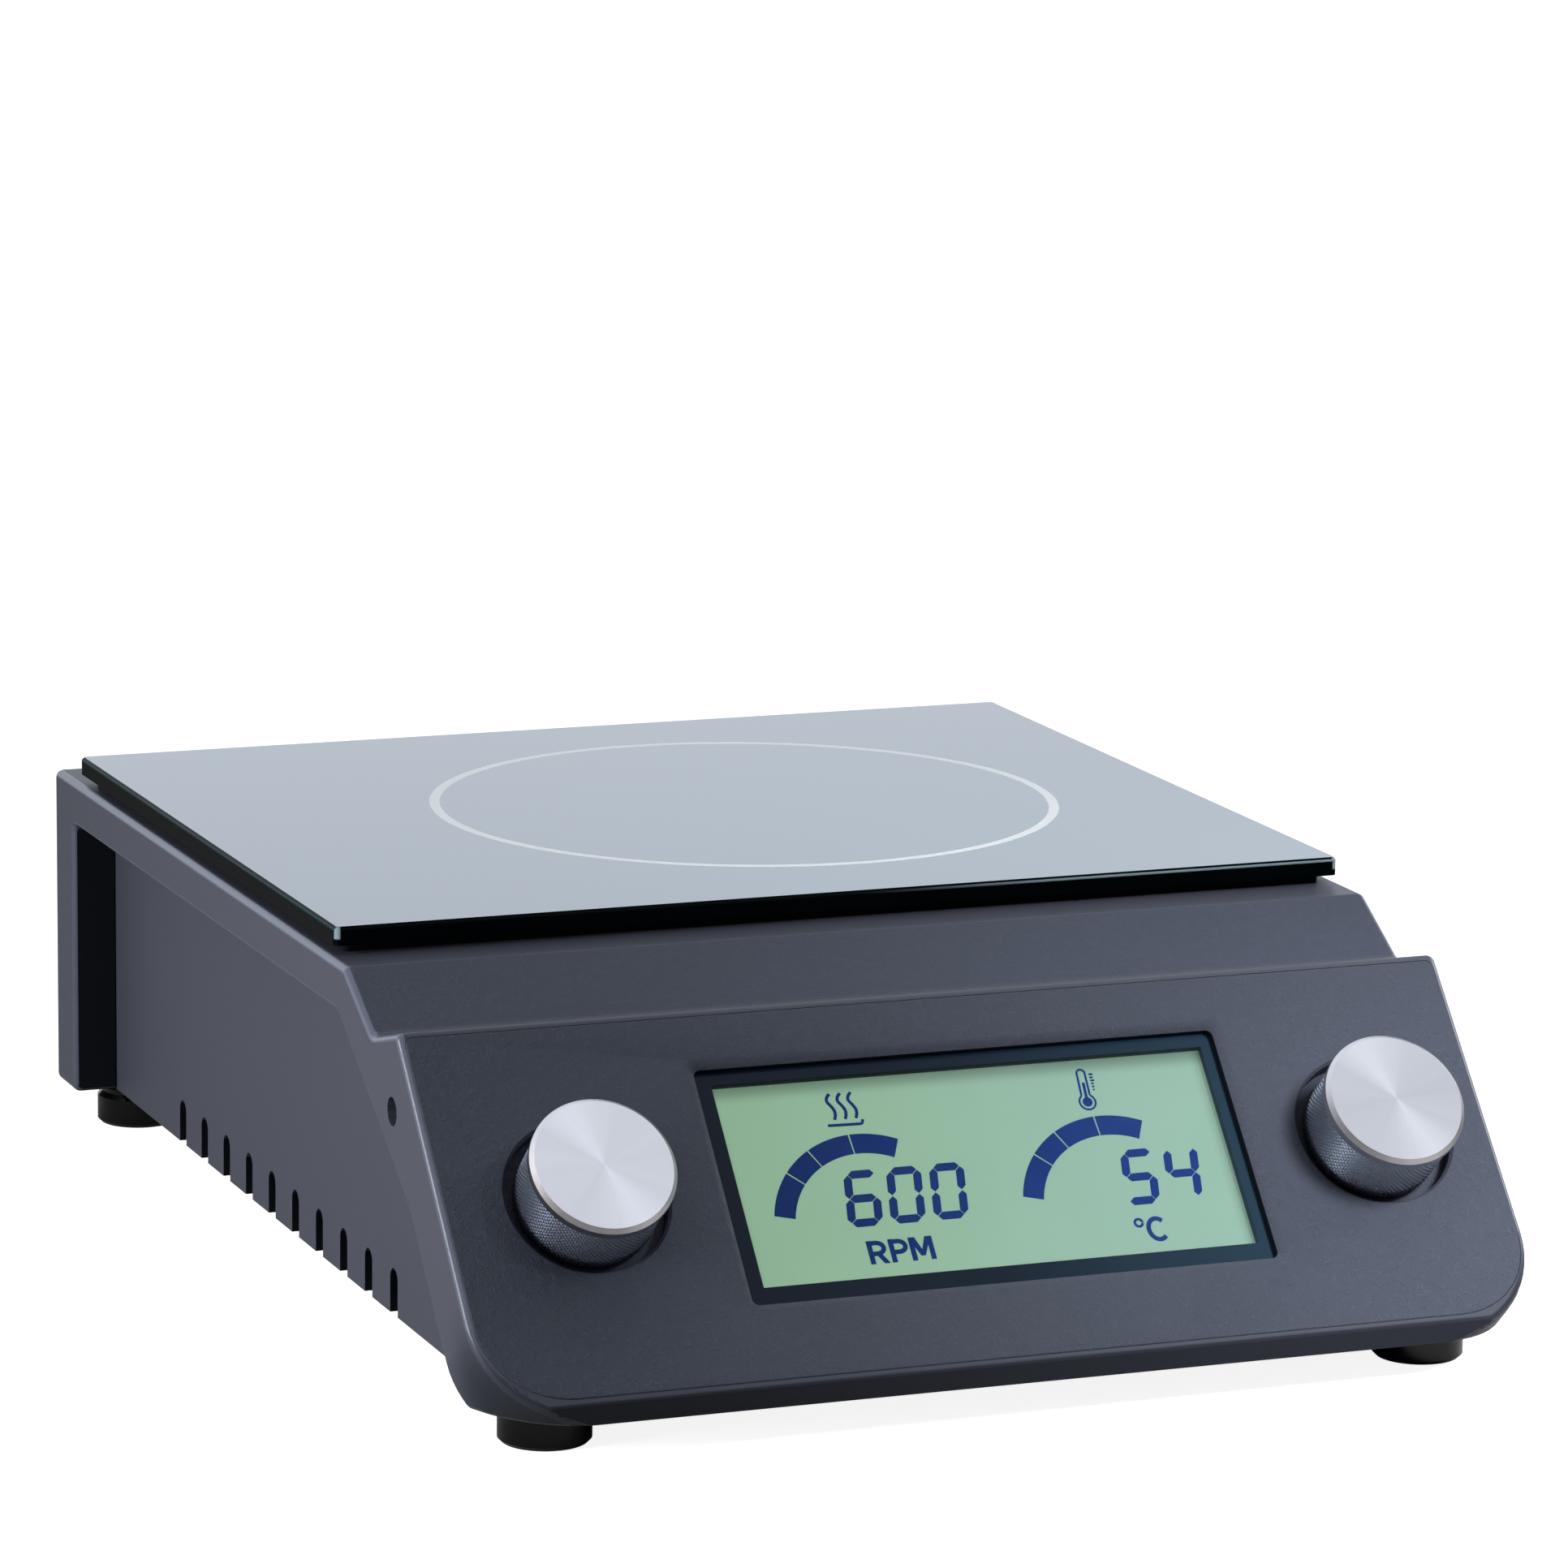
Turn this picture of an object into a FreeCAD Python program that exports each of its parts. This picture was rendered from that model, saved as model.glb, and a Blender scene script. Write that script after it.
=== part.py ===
"""Glass-topped hotplate stirrer: radiant heater under a glass plate, magnetic stirring,
two push-and-turn knobs and a display on a sloping front.

Millimetres. X runs to the viewer's right, Y to the rear, Z up, and the feet stand on z = 0.
"""
import FreeCAD
import Part
import math
import os

V = FreeCAD.Vector

# Moulded housing
BODY_WIDTH = 233.0
BODY_DEPTH = 314.0
FOOT_HEIGHT = 8.5
BODY_HEIGHT = 74.5
WALL = 2.5
DECK_WALL = 2.8
FACE_WALL = 5.0
EDGE_ROUND = 1.7
FIT_GAP = 0.3

# Sloping control face, chin, shelf and slope up to the deck
CHIN_HEIGHT = 4.5
FACE_LENGTH = 85.8
FACE_ANGLE = 48.0
FACE_CORNER = 23.0
SHELF_LENGTH = 16.5
SHELF_DROP = 4.3
SLOPE_ANGLE = 30.0
VALLEY_ROUND = 5.0

# Open recess in each side
RECESS_DEPTH = 10.0
RAIL_HEIGHT = 10.3
COLUMN_DEPTH = 15.5
CHEEK_WIDTH = 17.3
CHEEK_BREAK = 34.0
RECESS_SWEEP = 32.7
RECESS_ROUND = 8.0
RECESS_BREAK = 30.0
RECESS_EDGE = 1.2
POCKET_SKIN = 3.0

# Floor tub with its side panels and vent slots
TUB_WALL = 2.0
FLOOR_WALL = 2.5
TUB_OVERLAP = 2.6
VENT_COUNT = 10
VENT_WIDTH = 5.0
VENT_HEIGHT = 10.0
VENT_PITCH = 17.1
VENT_START = 54.5
NOSE_INSET = 24.0

# Glass plate and its seal
GLASS_THICKNESS = 4.0
GLASS_SIDE_MARGIN = 1.5
GLASS_FRONT_MARGIN = 10.7
GLASS_REAR_MARGIN = 17.0
GLASS_CORNER = 1.5
GLASS_BEVEL = 0.6
SEAL_THICKNESS = 2.0
SEAL_INSET = 3.0
SEAL_BAND = 8.0

# Radiant heater under the marked zone
ZONE_OFFSET = 13.0
PAN_RADIUS = 75.0
PAN_DEPTH = 20.5
PAN_SKIN = 1.0
PAN_GAP = 4.0
LINER_FLOOR = 8.0
LINER_RIM = 9.0
COIL_HEIGHT = 4.0
COIL_BAND = 1.6
COIL_INNER = 16.0
COIL_PITCH = 7.5
COIL_SPLIT = 12.0
COIL_CLEAR = 2.0
LIMITER_ROD = 2.0
LIMITER_HEAD = 22.0
LIMITER_WIDTH = 18.0
STRAP_WIDTH = 30.0
STRAP_THICKNESS = 1.5
STRAP_REACH = 10.0
STRAP_FOOT = 14.0
STRAP_PAD = 5.0
SHIELD_RADIUS = 76.0
SHIELD_THICKNESS = 1.0
SHIELD_DROP = 3.0

# Stirring drive
MAGNET_GAP = 2.0
MAGNET_HEIGHT = 7.0
MAGNET_RADIUS = 9.0
MAGNET_REACH = 18.0
CARRIER_THICKNESS = 4.0
CARRIER_RIM = 2.0
HUB_RADIUS = 8.0
HUB_HEIGHT = 4.0
SHAFT_RADIUS = 2.5
RUNNING_GAP = 0.05
MOTOR_RADIUS = 24.0
MOTOR_BOSS = 7.0
MOTOR_BOSS_HEIGHT = 3.0
MOTOR_FLOOR_GAP = 3.0
BRACKET_THICKNESS = 2.0
BRACKET_WIDTH = 44.0
BRACKET_FOOT = 14.0

# Control panel, knob wells and display opening
PANEL_PROUD = 0.1
PANEL_SINK = 2.2
PANEL_GAP = 0.06
PANEL_EDGE = 1.3
PANEL_TOP_EDGE = 1.25
PANEL_LEDGE = 5.5
PANEL_CORNER = 1.8
PANEL_LOW_ROUND = 18.0
PANEL_RIM = 0.3
WELL_DEPTH = 4.3
WELL_FLOOR = 1.8
WELL_GAP = 1.8
WELL_WALL = 1.6
WELL_SIDE_LEFT = 14.4
WELL_SIDE_RIGHT = 9.4
DISPLAY_GAP = 10.5
DISPLAY_TOP = 11.4
DISPLAY_BOTTOM = 16.8
DISPLAY_BEVEL = 1.8
DISPLAY_CORNER = 1.5
LENS_DROP = 2.7
LENS_WALL = 1.4
LENS_THICKNESS = 1.6
LENS_LAP = 2.4
LENS_FRAME = 2.3
LCD_INSET = 1.5
LCD_THICKNESS = 1.8
LIGHT_THICKNESS = 3.8

# Knobs and their push-and-turn encoders
KNOB_RADIUS = 15.3
KNOB_HEIGHT = 13.5
CAP_THICKNESS = 2.6
CAP_CHAMFER = 0.9
SKIRT_STEP = 0.3
SKIRT_WALL = 2.5
SKIRT_CLEAR = 1.2
KNOB_HUB = 6.0
STEM_RADIUS = 3.0
PLUNGER_WALL = 0.8
BUSH_WALL = 0.9
NUT_AF = 13.0
NUT_HEIGHT = 1.8
PUSH_TRAVEL = 0.8
ENCODER_SIZE = 14.0
ENCODER_LID = 1.2
ENCODER_FLOOR = 1.2
BOARD_DEPTH = 16.6
BOARD_THICKNESS = 1.6
BOARD_SIDE = 2.5
BOARD_TOP = 5.0
BOARD_BOTTOM = 24.0
CHIP_COUNT = 3
CHIP_SIZE = 12.0
CHIP_HEIGHT = 2.0
CHIP_PITCH = 26.0
CHIP_ASIDE = 34.0
CHIP_DROP = 2.0

# Over-temperature trimmer behind the round hole in the left cheek
TRIM_HOLE = 3.0
TRIM_DEPTH = 13.3
TRIM_ALONG = 10.7
TRIM_BODY = 9.0
TRIM_STEM = 2.0
TRIM_SLOT = 0.7
TRIM_SETBACK = 4.5

# Power electronics on the floor
PILLAR_HEIGHT = 6.0
PILLAR_RADIUS = 3.0
PILLAR_INSET = 5.0
POWER_LENGTH = 150.0
POWER_DEPTH = 78.0
POWER_FRONT = 42.0
CORE_LENGTH = 42.0
CORE_DEPTH = 34.0
CORE_HEIGHT = 30.0
CAN_RADIUS = 8.0
CAN_HEIGHT = 25.0
CAN_GAP = 4.0
SINK_GAP = 3.0
SINK_FINS = 8
SINK_REACH = 20.0
SINK_FIN = 1.6
SINK_HEIGHT = 24.0
SINK_BASE = 3.0
SWITCHER_SIZE = 15.0
SWITCHER_THICKNESS = 4.5
TERMINAL_LENGTH = 40.0
TERMINAL_DEPTH = 10.0
TERMINAL_HEIGHT = 14.0
RIBBON_WIDTH = 24.0
RIBBON_THICKNESS = 1.0
RIBBON_ASIDE = 30.0
LEAD_RADIUS = 1.5
LEAD_PITCH = 5.0
LEAD_BEND = 8.0

# Connector bay in the rear wall
BAY_DEPTH = 4.0
BAY_SIDE = 24.5
BAY_LOW = 9.5
BAY_HEIGHT = 44.0
BAY_CORNER = 4.0
FLANGE = 2.0
INLET_X = -58.0
INLET_WIDTH = 27.0
INLET_HEIGHT = 34.0
INLET_BODY = 24.0
INLET_LIP = 3.0
INLET_MOUTH = 24.0
INLET_MOUTH_HEIGHT = 16.6
INLET_MOUTH_DEPTH = 17.0
BLADE_LENGTH = 14.0
BLADE_WIDTH = 2.0
BLADE_HEIGHT = 4.0
BLADE_PITCH = 7.0
DRAWER_WIDTH = 21.0
DRAWER_HEIGHT = 9.0
DRAWER_LENGTH = 18.0
FUSE_RADIUS = 2.6
SWITCH_X = -18.0
SWITCH_WIDTH = 13.0
SWITCH_HEIGHT = 19.5
SWITCH_BODY = 17.0
SWITCH_LIP = 1.5
ROCKER_TILT = 7.0
PROBE_X = 22.0
PROBE_RADIUS = 7.5
PROBE_LIP = 2.0
PROBE_BORE = 5.2
PROBE_BODY = 16.0
PROBE_DEPTH = 8.0
ROD_SIDE = 42.5
ROD_BORE = 4.25
ROD_WALL = 3.75
ROD_LENGTH = 22.0
ROD_LIP = 3.0

# Feet, posts and screws
FOOT_RADIUS = 9.6
FOOT_FRONT = 21.5
FOOT_REAR = 12.0
FOOT_SIDE_FRONT = 19.5
FOOT_SIDE_REAR = 16.5
FOOT_NECK = 1.2
SCREW_RADIUS = 1.8
SCREW_HEAD = 3.4
SCREW_HEAD_HEIGHT = 2.0
SCREW_BITE = 9.0
POST_RADIUS = 4.5
POST_INSET = 12.0
POST_REAR = 27.0
POST_FRONT = 15.6

# Levels and planes that follow from the sizes above
HALF = BODY_WIDTH / 2
REAR = BODY_DEPTH / 2
FRONT = -BODY_DEPTH / 2
BASE = FOOT_HEIGHT
FLOOR = BASE + FLOOR_WALL
DECK = BASE + BODY_HEIGHT
CEILING = DECK - DECK_WALL
COS_FACE = math.cos(math.radians(FACE_ANGLE))
SIN_FACE = math.sin(math.radians(FACE_ANGLE))
FACE_BOTTOM = (FRONT, BASE + CHIN_HEIGHT)
FACE_TOP = (FRONT + FACE_LENGTH * COS_FACE, FACE_BOTTOM[1] + FACE_LENGTH * SIN_FACE)
VALLEY = (FACE_TOP[0] + SHELF_LENGTH, FACE_TOP[1] - SHELF_DROP)
DECK_FRONT = VALLEY[0] + (DECK - VALLEY[1]) / math.tan(math.radians(SLOPE_ANGLE))
CORE = HALF - RECESS_DEPTH
TUB_OUT = CORE - FIT_GAP
TUB_IN = TUB_OUT - TUB_WALL
RAIL_LOW = DECK - RAIL_HEIGHT
COLUMN_IN = REAR - COLUMN_DEPTH
BAY_FLOOR = REAR - BAY_DEPTH
BAY_BACK = BAY_FLOOR - WALL
BAY_Z = BASE + BAY_LOW + BAY_HEIGHT / 2
ROD_X = HALF - ROD_SIDE

GLASS_LOW = DECK + SEAL_THICKNESS
GLASS_TOP = GLASS_LOW + GLASS_THICKNESS
GLASS_HALF = HALF - GLASS_SIDE_MARGIN
GLASS_FRONT = DECK_FRONT + GLASS_FRONT_MARGIN
GLASS_REAR = REAR - GLASS_REAR_MARGIN
ZONE = V(ZONE_OFFSET, (GLASS_FRONT + GLASS_REAR) / 2, 0)

LINER_TOP = GLASS_LOW - FIT_GAP
PAN_TOP = LINER_TOP - 1.2
PAN_LOW = PAN_TOP - PAN_DEPTH
LINER_LOW = PAN_LOW + PAN_SKIN
LINER_RADIUS = PAN_RADIUS - PAN_SKIN - FIT_GAP
LINER_DISH = LINER_LOW + LINER_FLOOR
COIL_REACH = LINER_RADIUS - LINER_RIM - COIL_CLEAR
COIL_RINGS = int((COIL_REACH - COIL_BAND - COIL_INNER) / COIL_PITCH) + 1
ROD_Z = LINER_DISH + COIL_HEIGHT + LIMITER_ROD + 0.4
STRAP_TOP = PAN_LOW
STRAP_LOW = STRAP_TOP - STRAP_THICKNESS
SHIELD_TOP = STRAP_LOW - SHIELD_DROP
SHIELD_LOW = SHIELD_TOP - SHIELD_THICKNESS
MAGNET_TOP = SHIELD_LOW - MAGNET_GAP
MAGNET_LOW = MAGNET_TOP - MAGNET_HEIGHT
CARRIER_LOW = MAGNET_LOW - CARRIER_THICKNESS
CARRIER_RADIUS = MAGNET_REACH + MAGNET_RADIUS + CARRIER_RIM
HUB_LOW = CARRIER_LOW - HUB_HEIGHT
BOSS_TOP = HUB_LOW - 1.0
MOTOR_TOP = BOSS_TOP - MOTOR_BOSS_HEIGHT
MOTOR_LOW = FLOOR + MOTOR_FLOOR_GAP

WELL_RADIUS = KNOB_RADIUS + WELL_GAP
KNOB_XS = {"left": -HALF + WELL_SIDE_LEFT + WELL_RADIUS, "right": HALF - WELL_SIDE_RIGHT - WELL_RADIUS}
DISPLAY_X = (KNOB_XS["left"] + KNOB_XS["right"]) / 2
DISPLAY_HALF = (KNOB_XS["right"] - KNOB_XS["left"]) / 2 - WELL_RADIUS - DISPLAY_GAP
DISPLAY_RISE = (FACE_LENGTH - DISPLAY_TOP - DISPLAY_BOTTOM) / 2
PANEL_MID = DISPLAY_TOP + DISPLAY_RISE
PANEL_UP = PANEL_MID - PANEL_TOP_EDGE
PANEL_DOWN = PANEL_MID - FACE_LENGTH + PANEL_TOP_EDGE
WELL_BED = PANEL_PROUD - WELL_DEPTH
CUP_BACK = WELL_BED - WELL_FLOOR
LENS_FACE = PANEL_PROUD - LENS_DROP
LENS_BACK = LENS_FACE - LENS_THICKNESS
LCD_BACK = LENS_BACK - LCD_THICKNESS
LIGHT_BACK = LCD_BACK - LIGHT_THICKNESS
BOARD_FRONT = -BOARD_DEPTH
BOARD_BACK = BOARD_FRONT - BOARD_THICKNESS
PLUNGER_RADIUS = STEM_RADIUS + RUNNING_GAP + PLUNGER_WALL
BUSH_BORE = PLUNGER_RADIUS + RUNNING_GAP
BUSH_RADIUS = BUSH_BORE + BUSH_WALL
NUT_TOP = WELL_BED + NUT_HEIGHT
HUB_BED = NUT_TOP + PUSH_TRAVEL + FIT_GAP + 0.1

solids = {}
inner_screws = []


def add(name, shape):
    solids[name] = shape


def box(x0, x1, y0, y1, z0, z1):
    return Part.makeBox(x1 - x0, y1 - y0, z1 - z0, V(x0, y0, z0))


def rod(centre, radius, z0, z1):
    return Part.makeCylinder(radius, z1 - z0, V(centre.x, centre.y, z0))


def rod_along(axis, start, radius, length):
    return Part.makeCylinder(radius, length, start, axis)


def union(shapes):
    first = shapes[0]
    if len(shapes) == 1:
        return first
    return first.fuse(shapes[1:]).removeSplitter()


def rounded_wire(corners):
    """Closed wire through (point, radius) corners, each radius a tangent arc."""
    count = len(corners)
    entries = []
    for i, (point, radius) in enumerate(corners):
        before = (corners[i - 1][0] - point).normalize()
        after = (corners[(i + 1) % count][0] - point).normalize()
        if radius <= 0:
            entries.append((point, None, point))
            continue
        half_turn = before.getAngle(after) / 2
        reach = radius / math.tan(half_turn)
        inward = (before + after).normalize()
        middle = point + inward * (radius / math.sin(half_turn) - radius)
        entries.append((point + before * reach, middle, point + after * reach))
    edges = []
    for i, (start, middle, end) in enumerate(entries):
        if middle is not None:
            edges.append(Part.Arc(start, middle, end).toShape())
        following = entries[(i + 1) % count][0]
        if (following - end).Length > 1e-6:
            edges.append(Part.LineSegment(end, following).toShape())
    return Part.Wire(edges)


def side_prism(outline, x0, x1):
    """Solid between x0 and x1 whose section is an outline of ((y, z), radius) corners."""
    corners = [(V(x0, y, z), radius) for (y, z), radius in outline]
    return Part.Face(rounded_wire(corners)).extrude(V(x1 - x0, 0, 0))


def plan_prism(outline, z0, z1):
    corners = [(V(x, y, z0), radius) for (x, y), radius in outline]
    return Part.Face(rounded_wire(corners)).extrude(V(0, 0, z1 - z0))


def plan_rect(x0, x1, y0, y1, radius, z0, z1):
    outline = [((x0, y0), radius), ((x1, y0), radius), ((x1, y1), radius), ((x0, y1), radius)]
    return plan_prism(outline, z0, z1)


def inset_outline(points, walls):
    """Points of a counter-clockwise outline after edge i has moved inwards by walls[i]."""
    moved = []
    count = len(points)
    for i in range(count):
        (y0, z0), (y1, z1) = points[i], points[(i + 1) % count]
        length = math.hypot(y1 - y0, z1 - z0)
        dy, dz = (y1 - y0) / length, (z1 - z0) / length
        moved.append((y0 - dz * walls[i], z0 + dy * walls[i], dy, dz))
    result = []
    for i in range(count):
        ay, az, ady, adz = moved[i - 1]
        by, bz, bdy, bdz = moved[i]
        cross = ady * bdz - adz * bdy
        along = ((by - ay) * bdz - (bz - az) * bdy) / cross
        result.append((ay + ady * along, az + adz * along))
    return result


def face_point(along, depth):
    """(y, z) of a point 'along' mm down the control face from its top and 'depth' mm behind it."""
    y = FACE_TOP[0] - along * COS_FACE + depth * SIN_FACE
    z = FACE_TOP[1] - along * SIN_FACE - depth * COS_FACE
    return (y, z)


def on_panel(shape):
    """Carry a shape from panel axes (x, up the face, outwards) to the model's axes."""
    y, z = face_point(PANEL_MID, 0)
    placed = shape.copy()
    placed.rotate(V(0, 0, 0), V(1, 0, 0), FACE_ANGLE)
    placed.translate(V(0, y, z))
    return placed


def panel_rect(x0, x1, v0, v1, low_radius, top_radius, h0, h1):
    outline = [((x0, v0), low_radius), ((x1, v0), low_radius), ((x1, v1), top_radius), ((x0, v1), top_radius)]
    return plan_prism(outline, h0, h1)


def hexagon(centre, flats, z0, z1):
    radius = flats / math.sqrt(3)
    corners = []
    for i in range(6):
        turn = math.radians(60 * i)
        corners.append(((centre.x + radius * math.cos(turn), centre.y + radius * math.sin(turn)), 0))
    return plan_prism(corners, z0, z1)


def both_sides(shape):
    return [shape, shape.mirror(V(0, 0, 0), V(1, 0, 0))]


def recess_outline(grow):
    """Outline of the open side recess, its edges moved outwards by 'grow'."""
    cheek_top = BASE + CHEEK_BREAK
    along = (FACE_TOP[1] - CHEEK_WIDTH * COS_FACE - cheek_top) / SIN_FACE
    break_y = face_point(along, CHEEK_WIDTH)[0]
    foot_y = break_y - (cheek_top - BASE) / math.tan(math.radians(FACE_ANGLE))
    rail_y = break_y + (RAIL_LOW - cheek_top) / math.tan(math.radians(RECESS_SWEEP))
    points = [(foot_y, BASE), (COLUMN_IN, BASE), (COLUMN_IN, RAIL_LOW), (rail_y, RAIL_LOW), (break_y, cheek_top)]
    points = inset_outline(points, [-5.0, -grow, -grow, -grow, -grow])
    radii = [0, 0, 2.0, RECESS_ROUND, RECESS_BREAK]
    return list(zip(points, radii))


def body_outline():
    return [(REAR, BASE), (REAR, DECK), (DECK_FRONT, DECK), VALLEY, FACE_TOP, FACE_BOTTOM, (FRONT, BASE)]


def inner_outline(spare):
    walls = [WALL, DECK_WALL, WALL, WALL, FACE_WALL, WALL, -5.0]
    walls = [wall + spare for wall in walls[:6]] + [walls[6]]
    return inset_outline(body_outline(), walls)


def post_places():
    """Posts under the deck and the shelf that take the floor's screws."""
    side = TUB_IN - POST_INSET
    return [V(sign * side, y, 0) for sign in (-1, 1) for y in (REAR - POST_REAR, FACE_TOP[0] + POST_FRONT)]


def foot_places():
    front, rear = FRONT + FOOT_FRONT, REAR - FOOT_REAR
    return {
        "foot_front_left": V(-HALF + FOOT_SIDE_FRONT, front, 0),
        "foot_front_right": V(HALF - FOOT_SIDE_FRONT, front, 0),
        "foot_rear_left": V(-HALF + FOOT_SIDE_REAR, rear, 0),
        "foot_rear_right": V(HALF - FOOT_SIDE_REAR, rear, 0),
    }


def strap_screw_places():
    reach = PAN_RADIUS + STRAP_REACH + STRAP_FOOT / 2
    across = STRAP_WIDTH / 4
    return [ZONE + V(dx, dy, 0) for dx in (-across, across) for dy in (-reach, reach)]


def screw(centre, seat, tip, head):
    """Screw along Z from its seat to its tip, with the head beyond the seat."""
    low, high = min(seat, tip), max(seat, tip)
    shank = rod(centre, SCREW_RADIUS, low, high)
    cap = rod(centre, SCREW_HEAD, min(seat, head), max(seat, head))
    return shank.fuse(cap).removeSplitter()


def rear_rect(x, z, half_x, half_z, radius, y0, y1):
    """Block through the rear wall, seen from behind as a rounded rectangle."""
    flat = plan_rect(x - half_x, x + half_x, z - half_z, z + half_z, radius, 0, y1 - y0)
    flat.rotate(V(0, 0, 0), V(1, 0, 0), 90)
    flat.translate(V(0, y1, 0))
    return flat


def cheek_pocket(x0, x1):
    skin = FACE_WALL + 0.5
    deep = CHEEK_WIDTH - POCKET_SKIN
    recess = recess_outline(POCKET_SKIN)
    points = [
        face_point(TRIM_ALONG - 4, skin),
        face_point(FACE_LENGTH - FACE_CORNER, skin),
        face_point(FACE_LENGTH - FACE_CORNER, deep),
        recess[4][0],
        (recess[3][0][0] - RECESS_ROUND * 2, recess[3][0][1] - RECESS_ROUND * 0.9),
        (VALLEY[0], VALLEY[1] - WALL - 3),
    ]
    return side_prism([(point, 1.0) for point in points], x0, x1)


def make_upper_housing():
    # Outer form: the side outline across the width, its lower front corners rounded in the face's plane
    soft = EDGE_ROUND + 0.2
    radii = [1.5, soft, soft, VALLEY_ROUND, soft, 0, 0]
    block = side_prism(list(zip(body_outline(), radii)), -HALF, HALF)
    reach = BODY_DEPTH + BODY_HEIGHT
    low = PANEL_MID - FACE_LENGTH - CHIN_HEIGHT * SIN_FACE
    block = block.common(on_panel(panel_rect(-HALF, HALF, low, reach, FACE_CORNER, 0, -reach, reach)))
    rim = []
    for edge in block.Edges:
        ends = [vertex.Point for vertex in edge.Vertexes]
        middle = edge.valueAt((edge.FirstParameter + edge.LastParameter) / 2)
        level = min(point.z for point in ends)
        on_side = all(abs(abs(point.x) - HALF) < 1e-3 for point in ends) and abs(middle.x) > HALF - 1e-3
        on_chin = all(abs(point.y - FRONT) < 1e-3 for point in ends)
        if on_side and level > BASE + 0.1 and middle.y < REAR - soft:
            rim.append(edge)
        if on_chin and (abs(middle.x) > 1 or level > BASE + 0.1):
            rim.append(edge)
    block = block.makeFillet(EDGE_ROUND, rim)

    # Hollow inside, open underneath, and a solid corner each side of the nose
    nose_y = recess_outline(TUB_OVERLAP)[0][0][0]
    hollow = side_prism([(point, 0) for point in inner_outline(0)], -CORE, CORE)
    corners = []
    for corner in both_sides(box(HALF - NOSE_INSET, HALF, FRONT, nose_y, 0, DECK)):
        corners.append(corner)
    hollow = hollow.cut(corners)
    pockets = []
    for side in both_sides(cheek_pocket(CORE - 1, HALF - WALL)):
        pockets.append(side)
    rail_y = recess_outline(0)[3][0][0]
    rail = box(CORE - 1, HALF - WALL, rail_y, COLUMN_IN, RAIL_LOW + POCKET_SKIN, CEILING)
    column = box(CORE - 1, HALF - WALL, COLUMN_IN + POCKET_SKIN, REAR - WALL, BASE + POCKET_SKIN, CEILING)
    pockets += both_sides(rail) + both_sides(column)
    recesses = both_sides(side_prism(recess_outline(0), CORE, HALF + 5))
    block = block.cut(recesses)
    mouth = []
    for edge in block.Edges:
        ends = [vertex.Point for vertex in edge.Vertexes]
        on_side = all(abs(abs(point.x) - HALF) < 1e-3 for point in ends)
        inside = min(point.y for point in ends) > nose_y and max(point.y for point in ends) < COLUMN_IN + 1e-3
        if on_side and inside and min(point.z for point in ends) > BASE - 1e-3:
            mouth.append(edge)
    block = block.makeFillet(RECESS_EDGE, mouth)
    shell = block.cut([hollow] + pockets)

    # Bay for the connectors, sunk in the rear wall
    bay_half = HALF - BAY_SIDE
    wall = rear_rect(0, BAY_Z, bay_half + WALL, BAY_HEIGHT / 2 + WALL, BAY_CORNER + WALL, BAY_BACK, REAR - 1)
    shell = shell.fuse([wall] + [rod(place, POST_RADIUS, FLOOR, DECK - 1) for place in post_places()]
                       + [rod(place, POST_RADIUS, CEILING - STRAP_PAD, DECK - 1) for place in strap_screw_places()])
    shell = shell.common(block)
    cuts = [rear_rect(0, BAY_Z, bay_half, BAY_HEIGHT / 2, BAY_CORNER, BAY_FLOOR, REAR + 5)]
    cuts.append(rear_rect(INLET_X, BAY_Z, INLET_WIDTH / 2 + FIT_GAP, INLET_HEIGHT / 2 + FIT_GAP, 1.5, BAY_BACK - 5, REAR))
    cuts.append(rear_rect(SWITCH_X, BAY_Z, SWITCH_WIDTH / 2 + FIT_GAP, SWITCH_HEIGHT / 2 + FIT_GAP, 1, BAY_BACK - 5, REAR))
    cuts.append(rod_along(V(0, 1, 0), V(PROBE_X, BAY_BACK - 5, BAY_Z), PROBE_RADIUS + FIT_GAP, 20))
    cuts.append(rod_along(V(0, 1, 0), V(ROD_X, BAY_BACK - 5, BAY_Z), ROD_BORE + ROD_WALL + FIT_GAP, 20))

    # Openings for the heater and the control panel, the trimmer's hole and the screws' pilots
    cuts.append(rod(ZONE, PAN_RADIUS + PAN_GAP, CEILING - 1, DECK + 1))
    cuts.append(on_panel(panel_outline(PANEL_GAP, -PANEL_SINK, FACE_LENGTH)))
    cuts.append(on_panel(panel_outline(-PANEL_LEDGE, -PANEL_SINK - FACE_WALL - 2, 0)))
    trim_y, trim_z = face_point(TRIM_ALONG, TRIM_DEPTH)
    cuts.append(rod_along(V(1, 0, 0), V(-HALF - 1, trim_y, trim_z), TRIM_HOLE, HALF - TUB_IN + 4))
    for place in post_places():
        cuts.append(rod(place, SCREW_RADIUS, FLOOR - 1, FLOOR + SCREW_BITE))
    for place in strap_screw_places():
        cuts.append(rod(place, SCREW_RADIUS, CEILING - STRAP_PAD - 1, CEILING + 1))
    shell = shell.cut(cuts)
    add("upper_housing", shell.removeSplitter())


def panel_outline(grow, h0, h1):
    """Face plate's outline, grown by 'grow', between two heights over the face."""
    half = HALF - PANEL_EDGE + grow
    low_round = PANEL_LOW_ROUND + grow
    top_round = max(PANEL_CORNER + grow, 1.0)
    return panel_rect(-half, half, PANEL_DOWN - grow, PANEL_UP + grow, low_round, top_round, h0, h1)


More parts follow.
